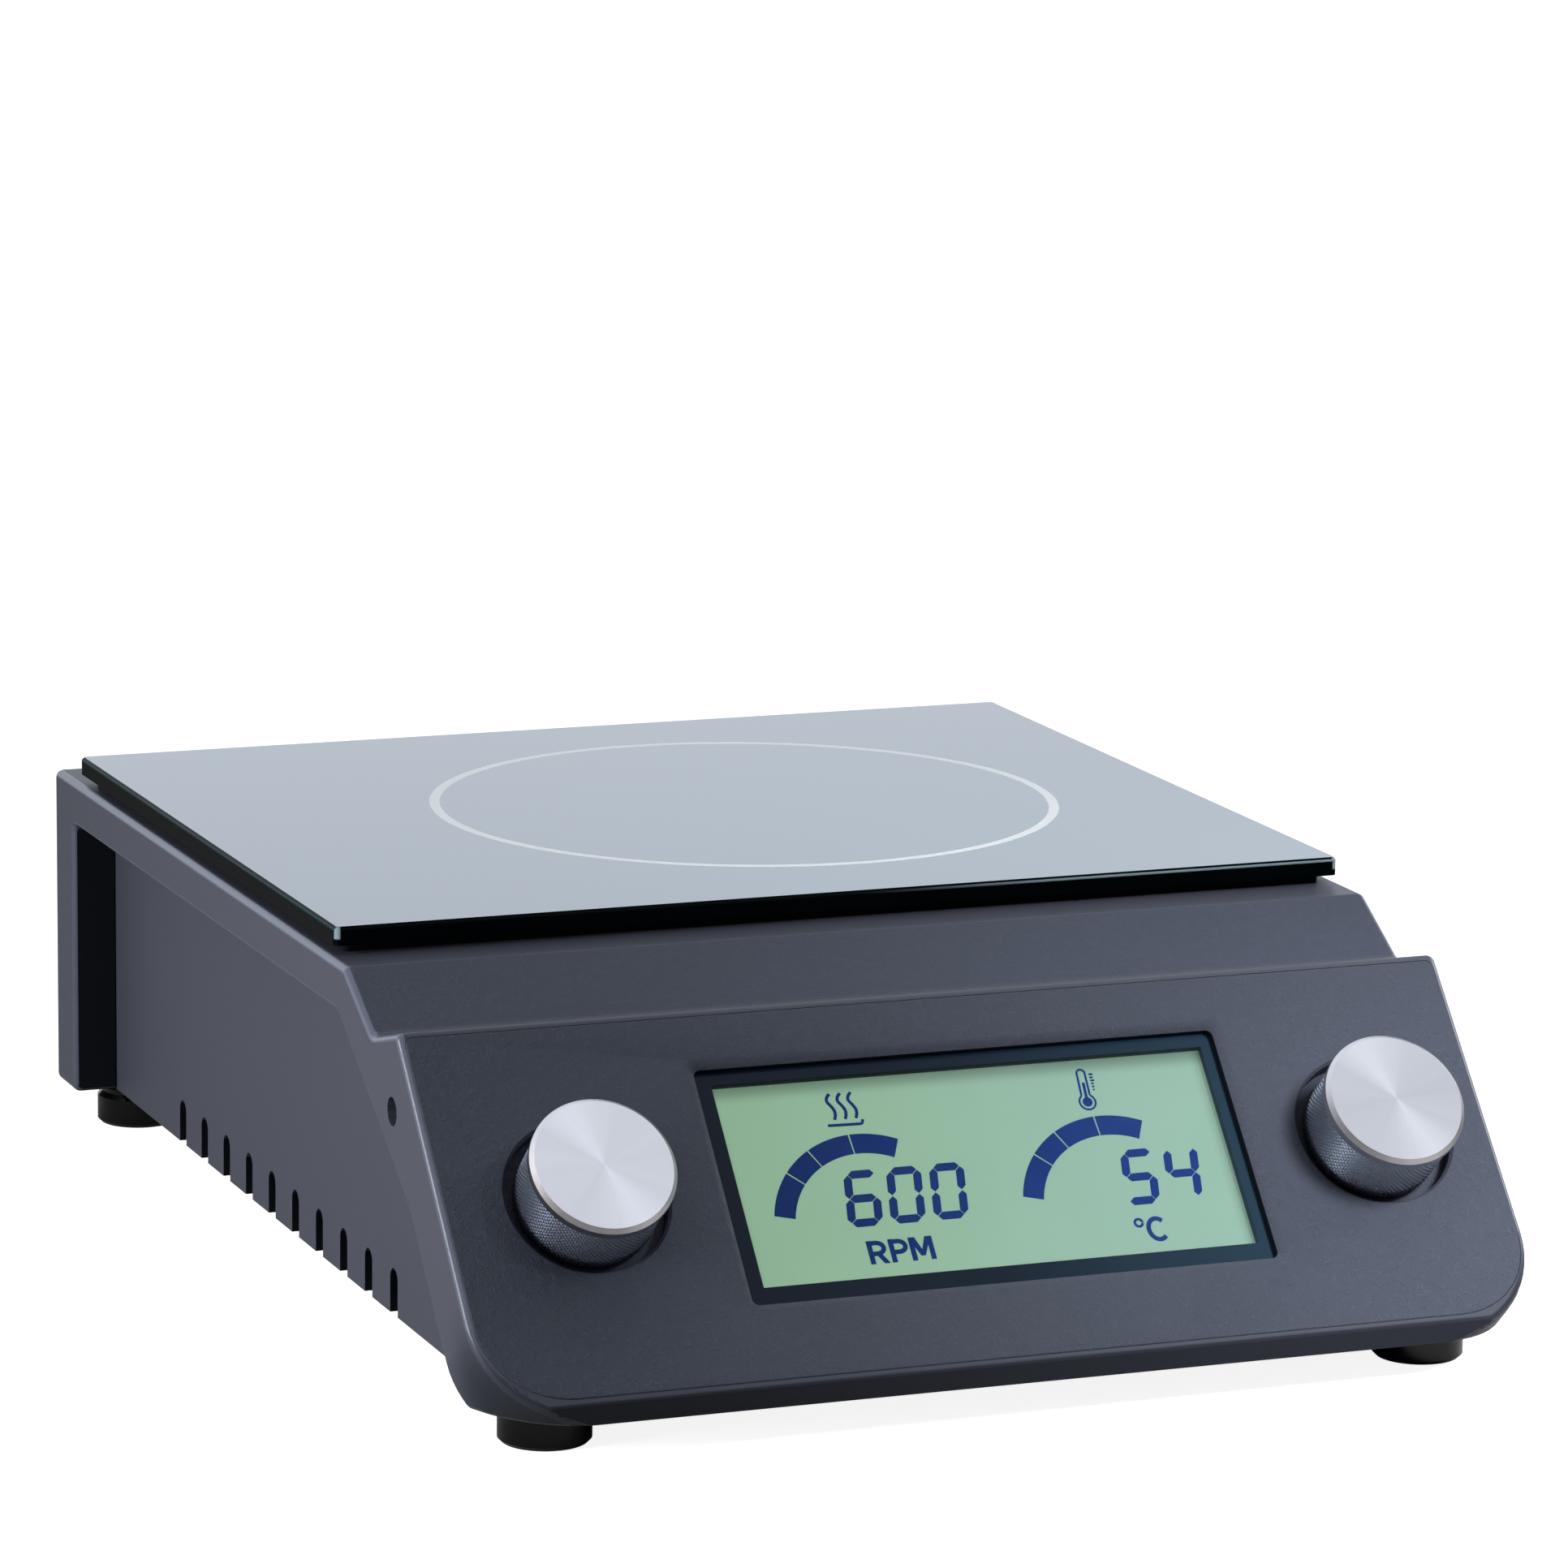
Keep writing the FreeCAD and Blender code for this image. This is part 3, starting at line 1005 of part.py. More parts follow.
def make_connectors():
    y_out = BAY_FLOOR + FLANGE
    axis = V(0, 1, 0)

    # Mains inlet: mouth above, fuse drawer below
    half_w, half_h = INLET_WIDTH / 2, INLET_HEIGHT / 2
    inlet = rear_rect(INLET_X, BAY_Z, half_w, half_h, 1.0, BAY_FLOOR - INLET_BODY, BAY_FLOOR + 0.5)
    flange = rear_rect(INLET_X, BAY_Z, half_w + INLET_LIP, half_h + INLET_LIP, 2.5, BAY_FLOOR, y_out)
    mouth_z = BAY_Z + half_h - 2 - INLET_MOUTH_HEIGHT / 2
    mouth_low = y_out - INLET_MOUTH_DEPTH
    w, h, c = INLET_MOUTH / 2, INLET_MOUTH_HEIGHT / 2, INLET_MOUTH_HEIGHT * 0.3
    points = [(-w, -h), (w, -h), (w, h - c), (w - c, h), (c - w, h), (-w, h - c)]
    shape = plan_prism([((x, y), 0.6) for x, y in points], 0, INLET_MOUTH_DEPTH + 5)
    shape.rotate(V(0, 0, 0), V(1, 0, 0), 90)
    shape.translate(V(INLET_X, y_out + 5, mouth_z))
    drawer_z = BAY_Z - half_h + 2 + DRAWER_HEIGHT / 2
    slot = box(INLET_X - DRAWER_WIDTH / 2, INLET_X + DRAWER_WIDTH / 2, y_out - DRAWER_LENGTH - 0.5, y_out + 1,
               drawer_z - DRAWER_HEIGHT / 2, drawer_z + DRAWER_HEIGHT / 2)
    add("mains_inlet", inlet.fuse(flange).removeSplitter().cut([shape, slot]))
    blades = []
    for i in (-1, 0, 1):
        x = INLET_X + i * BLADE_PITCH
        z = mouth_z + (2.5 if i == 0 else -1.5)
        blades.append(box(x - BLADE_WIDTH / 2, x + BLADE_WIDTH / 2, mouth_low, mouth_low + BLADE_LENGTH,
                          z - BLADE_HEIGHT / 2, z + BLADE_HEIGHT / 2))
    add("inlet_blades", Part.makeCompound(blades))
    gap = FIT_GAP / 2
    dw, dh = DRAWER_WIDTH / 2 - gap, DRAWER_HEIGHT / 2 - gap
    drawer = box(INLET_X - dw, INLET_X + dw, y_out - DRAWER_LENGTH, y_out, drawer_z - dh, drawer_z + dh)
    grip = box(INLET_X - dw / 2, INLET_X + dw / 2, y_out, y_out + 1.4, drawer_z - 1.2, drawer_z + 1.2)
    fuse_y = y_out - DRAWER_LENGTH / 2
    bed = box(INLET_X - dw + 1.2, INLET_X + dw - 1.2, fuse_y - FUSE_RADIUS - 0.2, fuse_y + FUSE_RADIUS + 0.2,
              drawer_z - FUSE_RADIUS, drawer_z + DRAWER_HEIGHT)
    add("fuse_drawer", drawer.fuse(grip).removeSplitter().cut(bed))
    fuse_half = dw - 1.4
    add("fuse", rod_along(V(1, 0, 0), V(INLET_X - fuse_half, fuse_y, drawer_z), FUSE_RADIUS, 2 * fuse_half))

    # Power switch: housing and a rocker tilted to one side
    half_w, half_h = SWITCH_WIDTH / 2, SWITCH_HEIGHT / 2
    body = rear_rect(SWITCH_X, BAY_Z, half_w, half_h, 0.8, BAY_FLOOR - SWITCH_BODY, BAY_FLOOR + 0.5)
    flange = rear_rect(SWITCH_X, BAY_Z, half_w + SWITCH_LIP, half_h + SWITCH_LIP, 1.2, BAY_FLOOR, y_out)
    room_w, room_h = half_w - 1.0, half_h - 1.0
    room = rear_rect(SWITCH_X, BAY_Z, room_w, room_h, 0.5, y_out - 10, y_out + 1)
    pivot_y = y_out - 3
    pin = rod_along(V(1, 0, 0), V(SWITCH_X - room_w - 0.6, pivot_y, BAY_Z), 1.2, 2 * room_w + 1.2)
    pin_hole = rod_along(V(1, 0, 0), V(SWITCH_X - room_w - 0.8, pivot_y, BAY_Z), 1.2 + RUNNING_GAP, 2 * room_w + 1.6)
    add("switch_housing", body.fuse(flange).removeSplitter().cut([room, pin_hole]))
    reach = room_h - 1.2
    outline = [(-5, 0), (0.5, reach), (3.6, reach), (2.6, 0), (3.6, -reach), (0.5, -reach)]
    corners = [((pivot_y + y, BAY_Z + z), 0.4) for y, z in reversed(outline)]
    rocker = side_prism(corners, SWITCH_X - room_w + FIT_GAP, SWITCH_X + room_w - FIT_GAP)
    rocker = rocker.fuse(pin).removeSplitter()
    rocker.rotate(V(SWITCH_X, pivot_y, BAY_Z), V(1, 0, 0), -ROCKER_TILT)
    add("switch_rocker", rocker)

    # Probe socket and the threaded socket for a support rod
    socket = rod_along(axis, V(PROBE_X, BAY_FLOOR - PROBE_BODY, BAY_Z), PROBE_RADIUS, PROBE_BODY + 1)
    collar = rod_along(axis, V(PROBE_X, BAY_FLOOR, BAY_Z), PROBE_RADIUS + PROBE_LIP, FLANGE)
    bore = rod_along(axis, V(PROBE_X, y_out - PROBE_DEPTH, BAY_Z), PROBE_BORE, PROBE_DEPTH + 1)
    add("probe_socket", socket.fuse(collar).removeSplitter().cut(bore))
    radius = ROD_BORE + ROD_WALL
    sleeve = rod_along(axis, V(ROD_X, y_out - ROD_LENGTH, BAY_Z), radius, ROD_LENGTH)
    collar = rod_along(axis, V(ROD_X, BAY_FLOOR, BAY_Z), radius + ROD_LIP, FLANGE)
    bore = rod_along(axis, V(ROD_X, y_out - ROD_LENGTH + 2, BAY_Z), ROD_BORE, ROD_LENGTH)
    add("rod_socket", sleeve.fuse(collar).removeSplitter().cut(bore))


def build():
    make_upper_housing()
    make_base_tub()
    make_feet()
    make_glass()
    make_heater()
    make_stirrer()
    make_control_panel()
    make_display()
    make_knobs()
    make_trimmer()
    make_power()
    make_connectors()
    add("inner_screws", Part.makeCompound(inner_screws))


build()
os.makedirs("parts", exist_ok=True)
for name, solid in solids.items():
    solid.exportStep("parts/" + name + ".step")
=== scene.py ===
"""Looks of a glass-topped hotplate stirrer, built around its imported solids.

Metres, in the part's own frame: X to the viewer's right, Y to the rear, Z up, feet on z = 0.
Sizes named in mm are turned into metres where a mesh is made.
"""
import math

import bmesh
import bpy
from mathutils import Matrix, Vector


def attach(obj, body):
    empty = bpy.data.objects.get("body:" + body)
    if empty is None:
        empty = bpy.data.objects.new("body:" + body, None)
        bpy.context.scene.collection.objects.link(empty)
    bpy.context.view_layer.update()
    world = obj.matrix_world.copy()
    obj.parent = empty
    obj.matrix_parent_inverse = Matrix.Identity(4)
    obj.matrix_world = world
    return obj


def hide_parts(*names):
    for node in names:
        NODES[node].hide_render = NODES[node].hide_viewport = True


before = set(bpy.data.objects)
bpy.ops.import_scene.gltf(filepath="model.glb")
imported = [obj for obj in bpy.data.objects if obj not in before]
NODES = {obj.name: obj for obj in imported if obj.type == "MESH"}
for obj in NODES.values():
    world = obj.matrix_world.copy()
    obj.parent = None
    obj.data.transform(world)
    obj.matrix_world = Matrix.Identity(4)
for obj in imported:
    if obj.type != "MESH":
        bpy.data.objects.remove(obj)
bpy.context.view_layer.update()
MM = 0.001

# The sloping control face in mm, as the solids have it, and the ways that the housing's flat faces look
FACE_TOP = Vector((0.0, -99.59, 76.76))
FACE_ANGLE = math.radians(48.0)
PANEL_MID = 40.2
DOWN_FACE = Vector((0.0, -math.cos(FACE_ANGLE), -math.sin(FACE_ANGLE)))
OUT_OF_FACE = Vector((0.0, -math.sin(FACE_ANGLE), math.cos(FACE_ANGLE)))
FACE_CENTRE = FACE_TOP + DOWN_FACE * PANEL_MID
SLOPE_WAY = Vector((0.0, -0.5, 0.866))
FLAT_WAYS = [Vector(way).normalized() for way in (
    (0, 0, 1), (0, 0, -1), (0, 1, 0), (0, -1, 0), (0, -0.5, 0.866), (0, -0.743, 0.669), (0, -0.25, 0.97),
    (0, -0.25, -0.97), (0, -0.67, -0.74), (0, 0.54, -0.84), (0, -0.59, 0.8))]
FLAT_ENOUGH = 0.985

# Where the housing's and the floor's finishes and their painted shade change, in metres
SLOPE_DEPTH = (-0.0835, -0.0628)
SLOPE_FOOT = 0.0705
SIDE_OUT = 0.1125
FRONT_REAR = -0.055
RECESS_IN = 0.1055
COLUMN_DEPTH = (0.13, 0.143)
# Depth and height of the painted shade band under the control face
CHIN_DEPTH = (-0.146, -0.130)
CHIN_HEIGHT = (0.014, 0.034)
VENT_IN = 0.100
VENT_TOP = 0.040
GLASS_BEVEL_TOP = 0.0888

# Knobs, in mm above the face, and the painted sheens of their caps: angle in degrees, sharpness and share
KNOBS = {"left": -85.0, "right": 90.0}
SKIRT_RADIUS = 15.0
SKIRT_WALL = 2.5
SKIRT_LOW = -3.0
SKIRT_TOP = 10.9
HOLLOW_TOP = 6.9
HUB_RADIUS = 6.0
HUB_LOW = -1.2
STEM_RADIUS = 3.0
STEM_TOP = 9.4
TURNED_STEPS = 96
CAP_PAINTED_SHEENS = ((118.0, 14.0, 0.17), (162.0, 18.0, 0.09), (20.0, 6.0, 0.04))
KNURL_DEPTH = 0.36
KNURL_AROUND = 88
KNURL_ROWS = 22
KNURL_INSET = 0.1

# Screws in mm: one head for all, then each set's lowest point, shank length and places on the right side
SCREW_HEAD = {"Head Radius": 3.4, "Head Height": 2.0, "Shank Radius": 1.8, "Cross Span": 3.6,
              "Cross Width": 0.8, "Cross Depth": 1.3}
SCREWS = {"housing_screws": (6.5, 11.0, ((92.2, 130.0), (92.2, -84.0))),
          "foot_screws": (2.2, 11.8, ((97.0, -135.5), (100.0, 145.0)))}

# Display, in mm across and up the face from its middle
WINDOW_X = 2.5
WINDOW_HALF = 60.5
WINDOW_RISE = 29.4
WALL_TOP = -1.2
WINDOW_FACE = -2.6
WINDOW_BACK = -4.2
FRAME_ROUND = 0.0001
GREEN_BOX = (-51.8, 57.8, -22.5, 23.9)
PANE_FACE = -3.0
PANE_BACK = -3.7
READOUT_SHIFT = (0.44, 0.57)
INK_TOP = WINDOW_BACK + 0.08
INK_STEP = 0.002

# Letters and signs, in mm: the letters' foot, height and bar, a bowl's reach, a thermometer's top and bulb
LETTER_LOW = -19.35
LETTER_TALL = 5.3
LETTER_BAR = 1.1
BOWL_REACH = 1.52
BULB = (29.37, 13.45)
TUBE_TOP = 20.2
WAVE_KNOTS = ((-27.03, 14.15), (-26.62, 15.1), (-26.55, 16.2), (-27.05, 17.35), (-27.68, 18.45),
              (-27.45, 19.4), (-26.75, 20.15))

# Light of the room
AMBIENT_LOW = 0.16
AMBIENT_HIGH = 0.25
BACKDROP_GLOSS = 1.32
OVERHEAD_GLOSS = 1.06
FLOOR_GLOSS = 0.45
FLOOR_BOUNCE = 0.1
FLOOR_REACH = 6.0
FLOOR_LEVEL = -0.00005

# Camera: place, turn and focal length that were fitted to the photograph's edges
CAMERA_PLACE = (-0.5543, -1.4314, 0.4080)
CAMERA_TURNS = (-21.37, 11.27, 0.70)
FOCAL_PIXELS = 8779.0
PICTURE_PIXELS = 1932.0
SENSOR_WIDTH = 36.0

# Marked zone printed on the glass, and the marks on the mains rocker
RING_CENTRE = (0.013, 0.0429, 0.0)
RING_RADIUS = 0.0700
RING_LINE = 0.0023
ROCKER_X = -0.0180
ROCKER_RING_Z = 0.0360
ROCKER_BAR_Z = 0.0436

FLOAT = "NodeSocketFloat"
COUNT = "NodeSocketInt"
VECTOR = "NodeSocketVector"
COLOUR = "NodeSocketColor"
SHAPE = "NodeSocketGeometry"
FINISH = "NodeSocketMaterial"


def paint(red, green, blue):
    """Linear colour from 0-255 screen values."""
    out = []
    for value in (red, green, blue):
        value = value / 255.0
        out.append(value / 12.92 if value <= 0.04045 else ((value + 0.055) / 1.055) ** 2.4)
    return (out[0], out[1], out[2], 1.0)


# Node helpers. Values are sockets or plain ones, and a helper works in the tree of its first socket.

def home(*values):
    return next(value.id_data for value in values if isinstance(value, bpy.types.NodeSocket))


def feed(made, wires):
    """Links or sets a node's inputs."""
    for key, value in wires.items():
        if isinstance(value, bpy.types.NodeSocket):
            made.id_data.links.new(value, made.inputs[key])
        else:
            made.inputs[key].default_value = value
    return made


def node(tree, kind, wires=None, **settings):
    made = tree.nodes.new(kind)
    for key, value in settings.items():
        setattr(made, key, value)
    return feed(made, wires or {})


def maths(operation, *values):
    return node(home(*values), "ShaderNodeMath", dict(enumerate(values)), operation=operation).outputs[0]


def times(first, *others):
    for other in others:
        first = maths("MULTIPLY", first, other)
    return first


def plus(first, *others):
    for other in others:
        first = maths("ADD", first, other)
    return first


def minus(first, second):
    return maths("SUBTRACT", first, second)


def ramp(value, low, high, to_low=0.0, to_high=1.0, smooth=True):
    """Goes from one level to another while the value goes from low to high."""
    wires = {"From Min": low, "From Max": high, "To Min": to_low, "To Max": to_high, "Value": value}
    way = "SMOOTHSTEP" if smooth else "LINEAR"
    return node(home(value), "ShaderNodeMapRange", wires, interpolation_type=way).outputs["Result"]


def blend(factor, first, second):
    """Colour between two others."""
    tree = home(factor, first, second)
    return node(tree, "ShaderNodeMix", {0: factor, 6: first, 7: second}, data_type="RGBA").outputs[2]


def toned(colour, value):
    """Colour made darker or lighter by a value about 1."""
    wires = {"Color": colour, "Value": value}
    return node(home(colour, value), "ShaderNodeHueSaturation", wires).outputs["Color"]


def noise(place, scale, detail, **more):
    wires = {"Vector": place, "Scale": scale, "Detail": detail, **more}
    return node(home(place), "ShaderNodeTexNoise", wires).outputs["Fac"]


def arrows(operation, *values):
    """Result of vector maths: a plain value for a length or a dot product, else a vector."""
    made = node(home(*values), "ShaderNodeVectorMath", dict(enumerate(values)), operation=operation)
    return made.outputs["Value" if operation in ("LENGTH", "DOT_PRODUCT") else "Vector"]


def split(vector):
    return node(home(vector), "ShaderNodeSeparateXYZ", {"Vector": vector}).outputs


def xyz(tree, x, y, z):
    return node(tree, "ShaderNodeCombineXYZ", {"X": x, "Y": y, "Z": z}).outputs[0]


def new_tree(name, kind, inputs, outputs):
    """Node tree with named inputs and outputs, its input sockets and its end node."""
    tree = bpy.data.node_groups.new(name, kind)
    for label, socket_kind, value in inputs:
        socket = tree.interface.new_socket(label, in_out="INPUT", socket_type=socket_kind)
        if value is not None:
            socket.default_value = value
    for label, socket_kind in outputs:
        tree.interface.new_socket(label, in_out="OUTPUT", socket_type=socket_kind)
    start = tree.nodes.new("NodeGroupInput")
    return tree, start.outputs, tree.nodes.new("NodeGroupOutput")


# Shared surface effects

def make_moulded_surface():
    """Colour drift, gloss drift and grain height of a moulded plastic skin."""
    tree, ins, end = new_tree("moulded_surface", "ShaderNodeTree", [
        ("Coordinates", VECTOR, (0, 0, 0)), ("Colour", COLOUR, (0.1, 0.1, 0.1, 1)), ("Drift", FLOAT, 0.05),
        ("Grain Size", FLOAT, 1.0), ("Leather", FLOAT, 0.0), ("Roughness", FLOAT, 0.5)],
        [("Colour", COLOUR), ("Roughness", FLOAT), ("Height", FLOAT)])
    place = ins["Coordinates"]
    scale = maths("DIVIDE", 1000.0, ins["Grain Size"])
    cells = node(tree, "ShaderNodeTexVoronoi", {"Vector": place, "Scale": scale, "Randomness": 1.0},
                 feature="SMOOTH_F1")
    feed(cells, {"Smoothness": 0.6})
    fine = noise(place, times(scale, 2.2), 4.0, Roughness=0.62)
    worms = noise(place, times(scale, 0.8), 1.5, Distortion=1.2)
    crease = ramp(maths("ABSOLUTE", minus(worms, 0.5)), 0.0, 0.09)
    patch = ramp(noise(place, times(scale, 0.35), 1.0), 0.4, 0.6, 0.35, 1.0)
    leather = times(times(crease, patch), plus(times(cells.outputs["Distance"], 0.8), 0.25))
    height = node(tree, "ShaderNodeMix", {0: ins["Leather"], 2: fine, 3: leather}).outputs[0]
    shade = plus(1.0, times(ins["Drift"], minus(noise(place, 14.0, 3.0), 0.5)))
    speck = times(minus(height, 0.4), times(ins["Leather"], 0.25))
    feed(end, {"Colour": toned(ins["Colour"], plus(shade, speck)),
               "Roughness": plus(ins["Roughness"], times(minus(fine, 0.5), 0.10)), "Height": height})
    return tree


def make_metal_streaks():
    """Fine brushed or rolled streaks along one axis, with tone drift."""
    tree, ins, end = new_tree("metal_streaks", "ShaderNodeTree", [
        ("Coordinates", VECTOR, (0, 0, 0)), ("Stretch", VECTOR, (1, 1, 1)), ("Colour", COLOUR, (0.6, 0.6, 0.6, 1)),
        ("Strength", FLOAT, 0.2), ("Roughness", FLOAT, 0.35)],
        [("Colour", COLOUR), ("Roughness", FLOAT), ("Height", FLOAT)])
    drawn = arrows("MULTIPLY", ins["Coordinates"], ins["Stretch"])
    streak = noise(drawn, 1200.0, 3.0, Roughness=0.6)
    mixed = plus(times(streak, 0.7), times(noise(ins["Coordinates"], 40.0, 2.0), 0.3))
    offset = times(minus(mixed, 0.5), ins["Strength"])
    feed(end, {"Colour": toned(ins["Colour"], plus(1.0, offset)), "Roughness": plus(ins["Roughness"], offset),
               "Height": streak})
    return tree


def make_turning_marks():
    """Concentric turning marks about a tilted axis through a centre."""
    tree, ins, end = new_tree("turning_marks", "ShaderNodeTree", [
        ("Coordinates", VECTOR, (0, 0, 0)), ("Centre", VECTOR, (0, 0, 0)), ("Axis", VECTOR, (0, 0, 1)),
        ("Pitch", FLOAT, 0.0002)], [("Rings", FLOAT), ("Radius", FLOAT), ("Around", VECTOR)])
    offset = arrows("SUBTRACT", ins["Coordinates"], ins["Centre"])
    along = arrows("DOT_PRODUCT", offset, ins["Axis"])
    lift = node(tree, "ShaderNodeVectorMath", {0: ins["Axis"], "Scale": along}, operation="SCALE").outputs[0]
    flat = arrows("SUBTRACT", offset, lift)
    radius = arrows("LENGTH", flat)
    around = arrows("NORMALIZE", arrows("CROSS_PRODUCT", ins["Axis"], flat))
    wires = {"W": maths("DIVIDE", radius, ins["Pitch"]), "Scale": 1.0, "Detail": 3.0, "Roughness": 0.7}
    rings = node(tree, "ShaderNodeTexNoise", wires, noise_dimensions="1D").outputs["Fac"]
    feed(end, {"Rings": rings, "Radius": radius, "Around": around})
    return tree


MOULDED = make_moulded_surface()
STREAKS = make_metal_streaks()
TURNING = make_turning_marks()


# Materials

def new_material(name):
    """Blank material, its shader and its object coordinates."""
    made = bpy.data.materials.new(name)
    made.use_nodes = True
    tree = made.node_tree
    return made, tree.nodes["Principled BSDF"], node(tree, "ShaderNodeTexCoord").outputs["Object"]


def surface(group, place, wires):
    """Outputs of a shared surface effect at a place."""
    return node(home(place), "ShaderNodeGroup", {"Coordinates": place, **wires}, node_tree=group).outputs


def bump(height, distance):
    wires = {"Height": height, "Distance": distance, "Strength": 1.0}
    return node(home(height), "ShaderNodeBump", wires).outputs["Normal"]


def face_place(place):
    """Metres across and up the control face from its middle."""
    offset = arrows("SUBTRACT", place, FACE_CENTRE * MM)
    return split(offset)["X"], arrows("DOT_PRODUCT", offset, -DOWN_FACE)


def moulded(name, colour, roughness, drift, grain, leather, relief, specular, coat=0.0):
    """Moulded plastic or rubber."""
    made, shader, place = new_material(name)
    skin = surface(MOULDED, place, {"Colour": colour, "Drift": drift, "Grain Size": grain, "Leather": leather,
                                    "Roughness": roughness})
    feed(shader, {"Base Color": skin["Colour"], "Roughness": skin["Roughness"], "Specular IOR Level": specular,
                  "Coat Weight": coat, "Coat Roughness": 0.12, "Normal": bump(skin["Height"], relief)})
    return made


def overpaint(made, mask, colour):
    """Lays a colour over a material's own where the mask is 1."""
    shader = made.node_tree.nodes["Principled BSDF"]
    plain = shader.inputs["Base Color"].links[0].from_socket
    feed(shader, {"Base Color": blend(mask, plain, colour)})
    return made


def with_painted_chin_shade(made, shade, upward):
    """Same material with a painted shade: a soft dark band under the control face, on ways that point up less than
    upward.
    """
    coordinates = node(made.node_tree, "ShaderNodeTexCoord").outputs
    place, way = split(coordinates["Object"]), split(coordinates["Normal"])
    fore = ramp(place["Y"], *CHIN_DEPTH, 1.0, 0.0)
    low = ramp(place["Z"], *CHIN_HEIGHT, 1.0, 0.0)
    return overpaint(made, times(fore, low, ramp(way["Z"], *upward, 1.0, 0.0)), shade)


def marked_rocker(name):
    """Glossy black with the white bar for on and the ring for off."""
    made = moulded(name, paint(14, 14, 16), 0.16, 0.06, 0.4, 0.0, 0.000004, 0.5, 0.5)
    parts = split(node(made.node_tree, "ShaderNodeTexCoord").outputs["Object"])
    across = minus(parts["X"], ROCKER_X)
    down = minus(parts["Z"], ROCKER_RING_Z)
    reach = maths("SQRT", plus(times(across, across), times(down, down)))
    ring = maths("COMPARE", reach, 0.0016, 0.00024)
    bar = times(maths("COMPARE", across, 0.0, 0.00026), maths("COMPARE", parts["Z"], ROCKER_BAR_Z, 0.0017))
    return overpaint(made, maths("MAXIMUM", ring, bar), paint(226, 228, 228))


def metal(name, colour, roughness, stretch, strength, relief=0.000004):
    """Brushed, rolled or turned metal."""
    made, shader, place = new_material(name)
    skin = surface(STREAKS, place, {"Stretch": stretch, "Colour": colour, "Strength": strength,
                                    "Roughness": roughness})
    feed(shader, {"Base Color": skin["Colour"], "Roughness": skin["Roughness"], "Metallic": 1.0,
                  "Normal": bump(skin["Height"], relief)})
    return made


def spun_metal(name, centre, colour):
    """Knob cap: turned face with a painted radial sheen of bright fans in its colour, and fine rings."""
    made, shader, place = new_material(name)
    marks = surface(TURNING, place, {"Centre": centre, "Axis": OUT_OF_FACE, "Pitch": 0.00016})
    ripple = minus(marks["Rings"], 0.5)
    tone = plus(times(ripple, 0.10), times(minus(noise(marks["Around"], 5.0, 2.0), 0.5), 0.08))
    # Painted sheen: bright fans at set angles round the cap
    for turn, power, share in CAP_PAINTED_SHEENS:
        angle = math.radians(turn)
        way = Vector((math.cos(angle), 0.0, 0.0)) - DOWN_FACE * math.sin(angle)
        along = arrows("DOT_PRODUCT", marks["Around"], OUT_OF_FACE.cross(way))
        tone = plus(tone, times(maths("POWER", maths("ABSOLUTE", along), power), share))
    feed(shader, {"Base Color": toned(colour, plus(0.87, tone)), "Roughness": plus(0.38, times(ripple, 0.12)),
                  "Metallic": 1.0, "Anisotropic": 0.65, "Tangent": marks["Around"],
                  "Normal": bump(marks["Rings"], 0.000003)})
    return made


def glass_plate(name):
    """Black glass ceramic with one printed ring."""
    made, shader, place = new_material(name)
    marks = surface(TURNING, place, {"Centre": RING_CENTRE, "Axis": (0, 0, 1), "Pitch": 0.001})
    away = maths("ABSOLUTE", minus(marks["Radius"], RING_RADIUS))
    line = ramp(away, RING_LINE / 2 - 0.00012, RING_LINE / 2 + 0.00012, 1.0, 0.0)
    mask = times(line, ramp(split(place)["Z"], 0.0885, 0.0888))
    body = blend(noise(place, 9.0, 3.0), paint(60, 80, 96), paint(72, 92, 108))
    rough = plus(0.02, times(noise(place, 60.0, 4.0), 0.02))
    feed(shader, {"Base Color": blend(mask, body, paint(222, 226, 228)), "Specular IOR Level": 0.75,
                  "Roughness": plus(rough, times(mask, 0.25)), "Normal": bump(mask, 0.000006)})
    return made


def glass_edge(name):
    """Cut edge of the glass: near black, with a teal band under its bevel, and painted reflections: a pale band at
    the front right and a pale facet at the front corners.
    """
    made, shader, place = new_material(name)
    parts = split(place)
    height = parts["Z"]
    level = times(ramp(height, 0.08805, 0.08820), ramp(height, 0.08855, 0.08865, 1.0, 0.0))
    front = ramp(parts["Y"], -0.0535, -0.0530, 1.0, 0.0)
    # Painted reflection: the front edge's band runs from dark at the left to pale at the right
    painted_glint = blend(ramp(parts["X"], 0.0, 0.06), paint(4, 12, 13), paint(112, 130, 138))
    band = blend(front, paint(20, 48, 50), painted_glint)
    waver = noise(place, 40.0, 2.0)
    cut = blend(level, blend(waver, paint(0, 2, 3), paint(3, 8, 10)), band)
    # Painted reflection: a pale facet at each front corner
    corner = ramp(maths("ABSOLUTE", parts["X"]), 0.1136, 0.1140)
    corner = times(front, corner, ramp(height, 0.0862, 0.0866))
    feed(shader, {"Base Color": blend(corner, cut, paint(128, 146, 152)),
                  "Roughness": ramp(waver, 0.3, 0.7, 0.10, 0.16), "Specular IOR Level": 0.02})
    return made


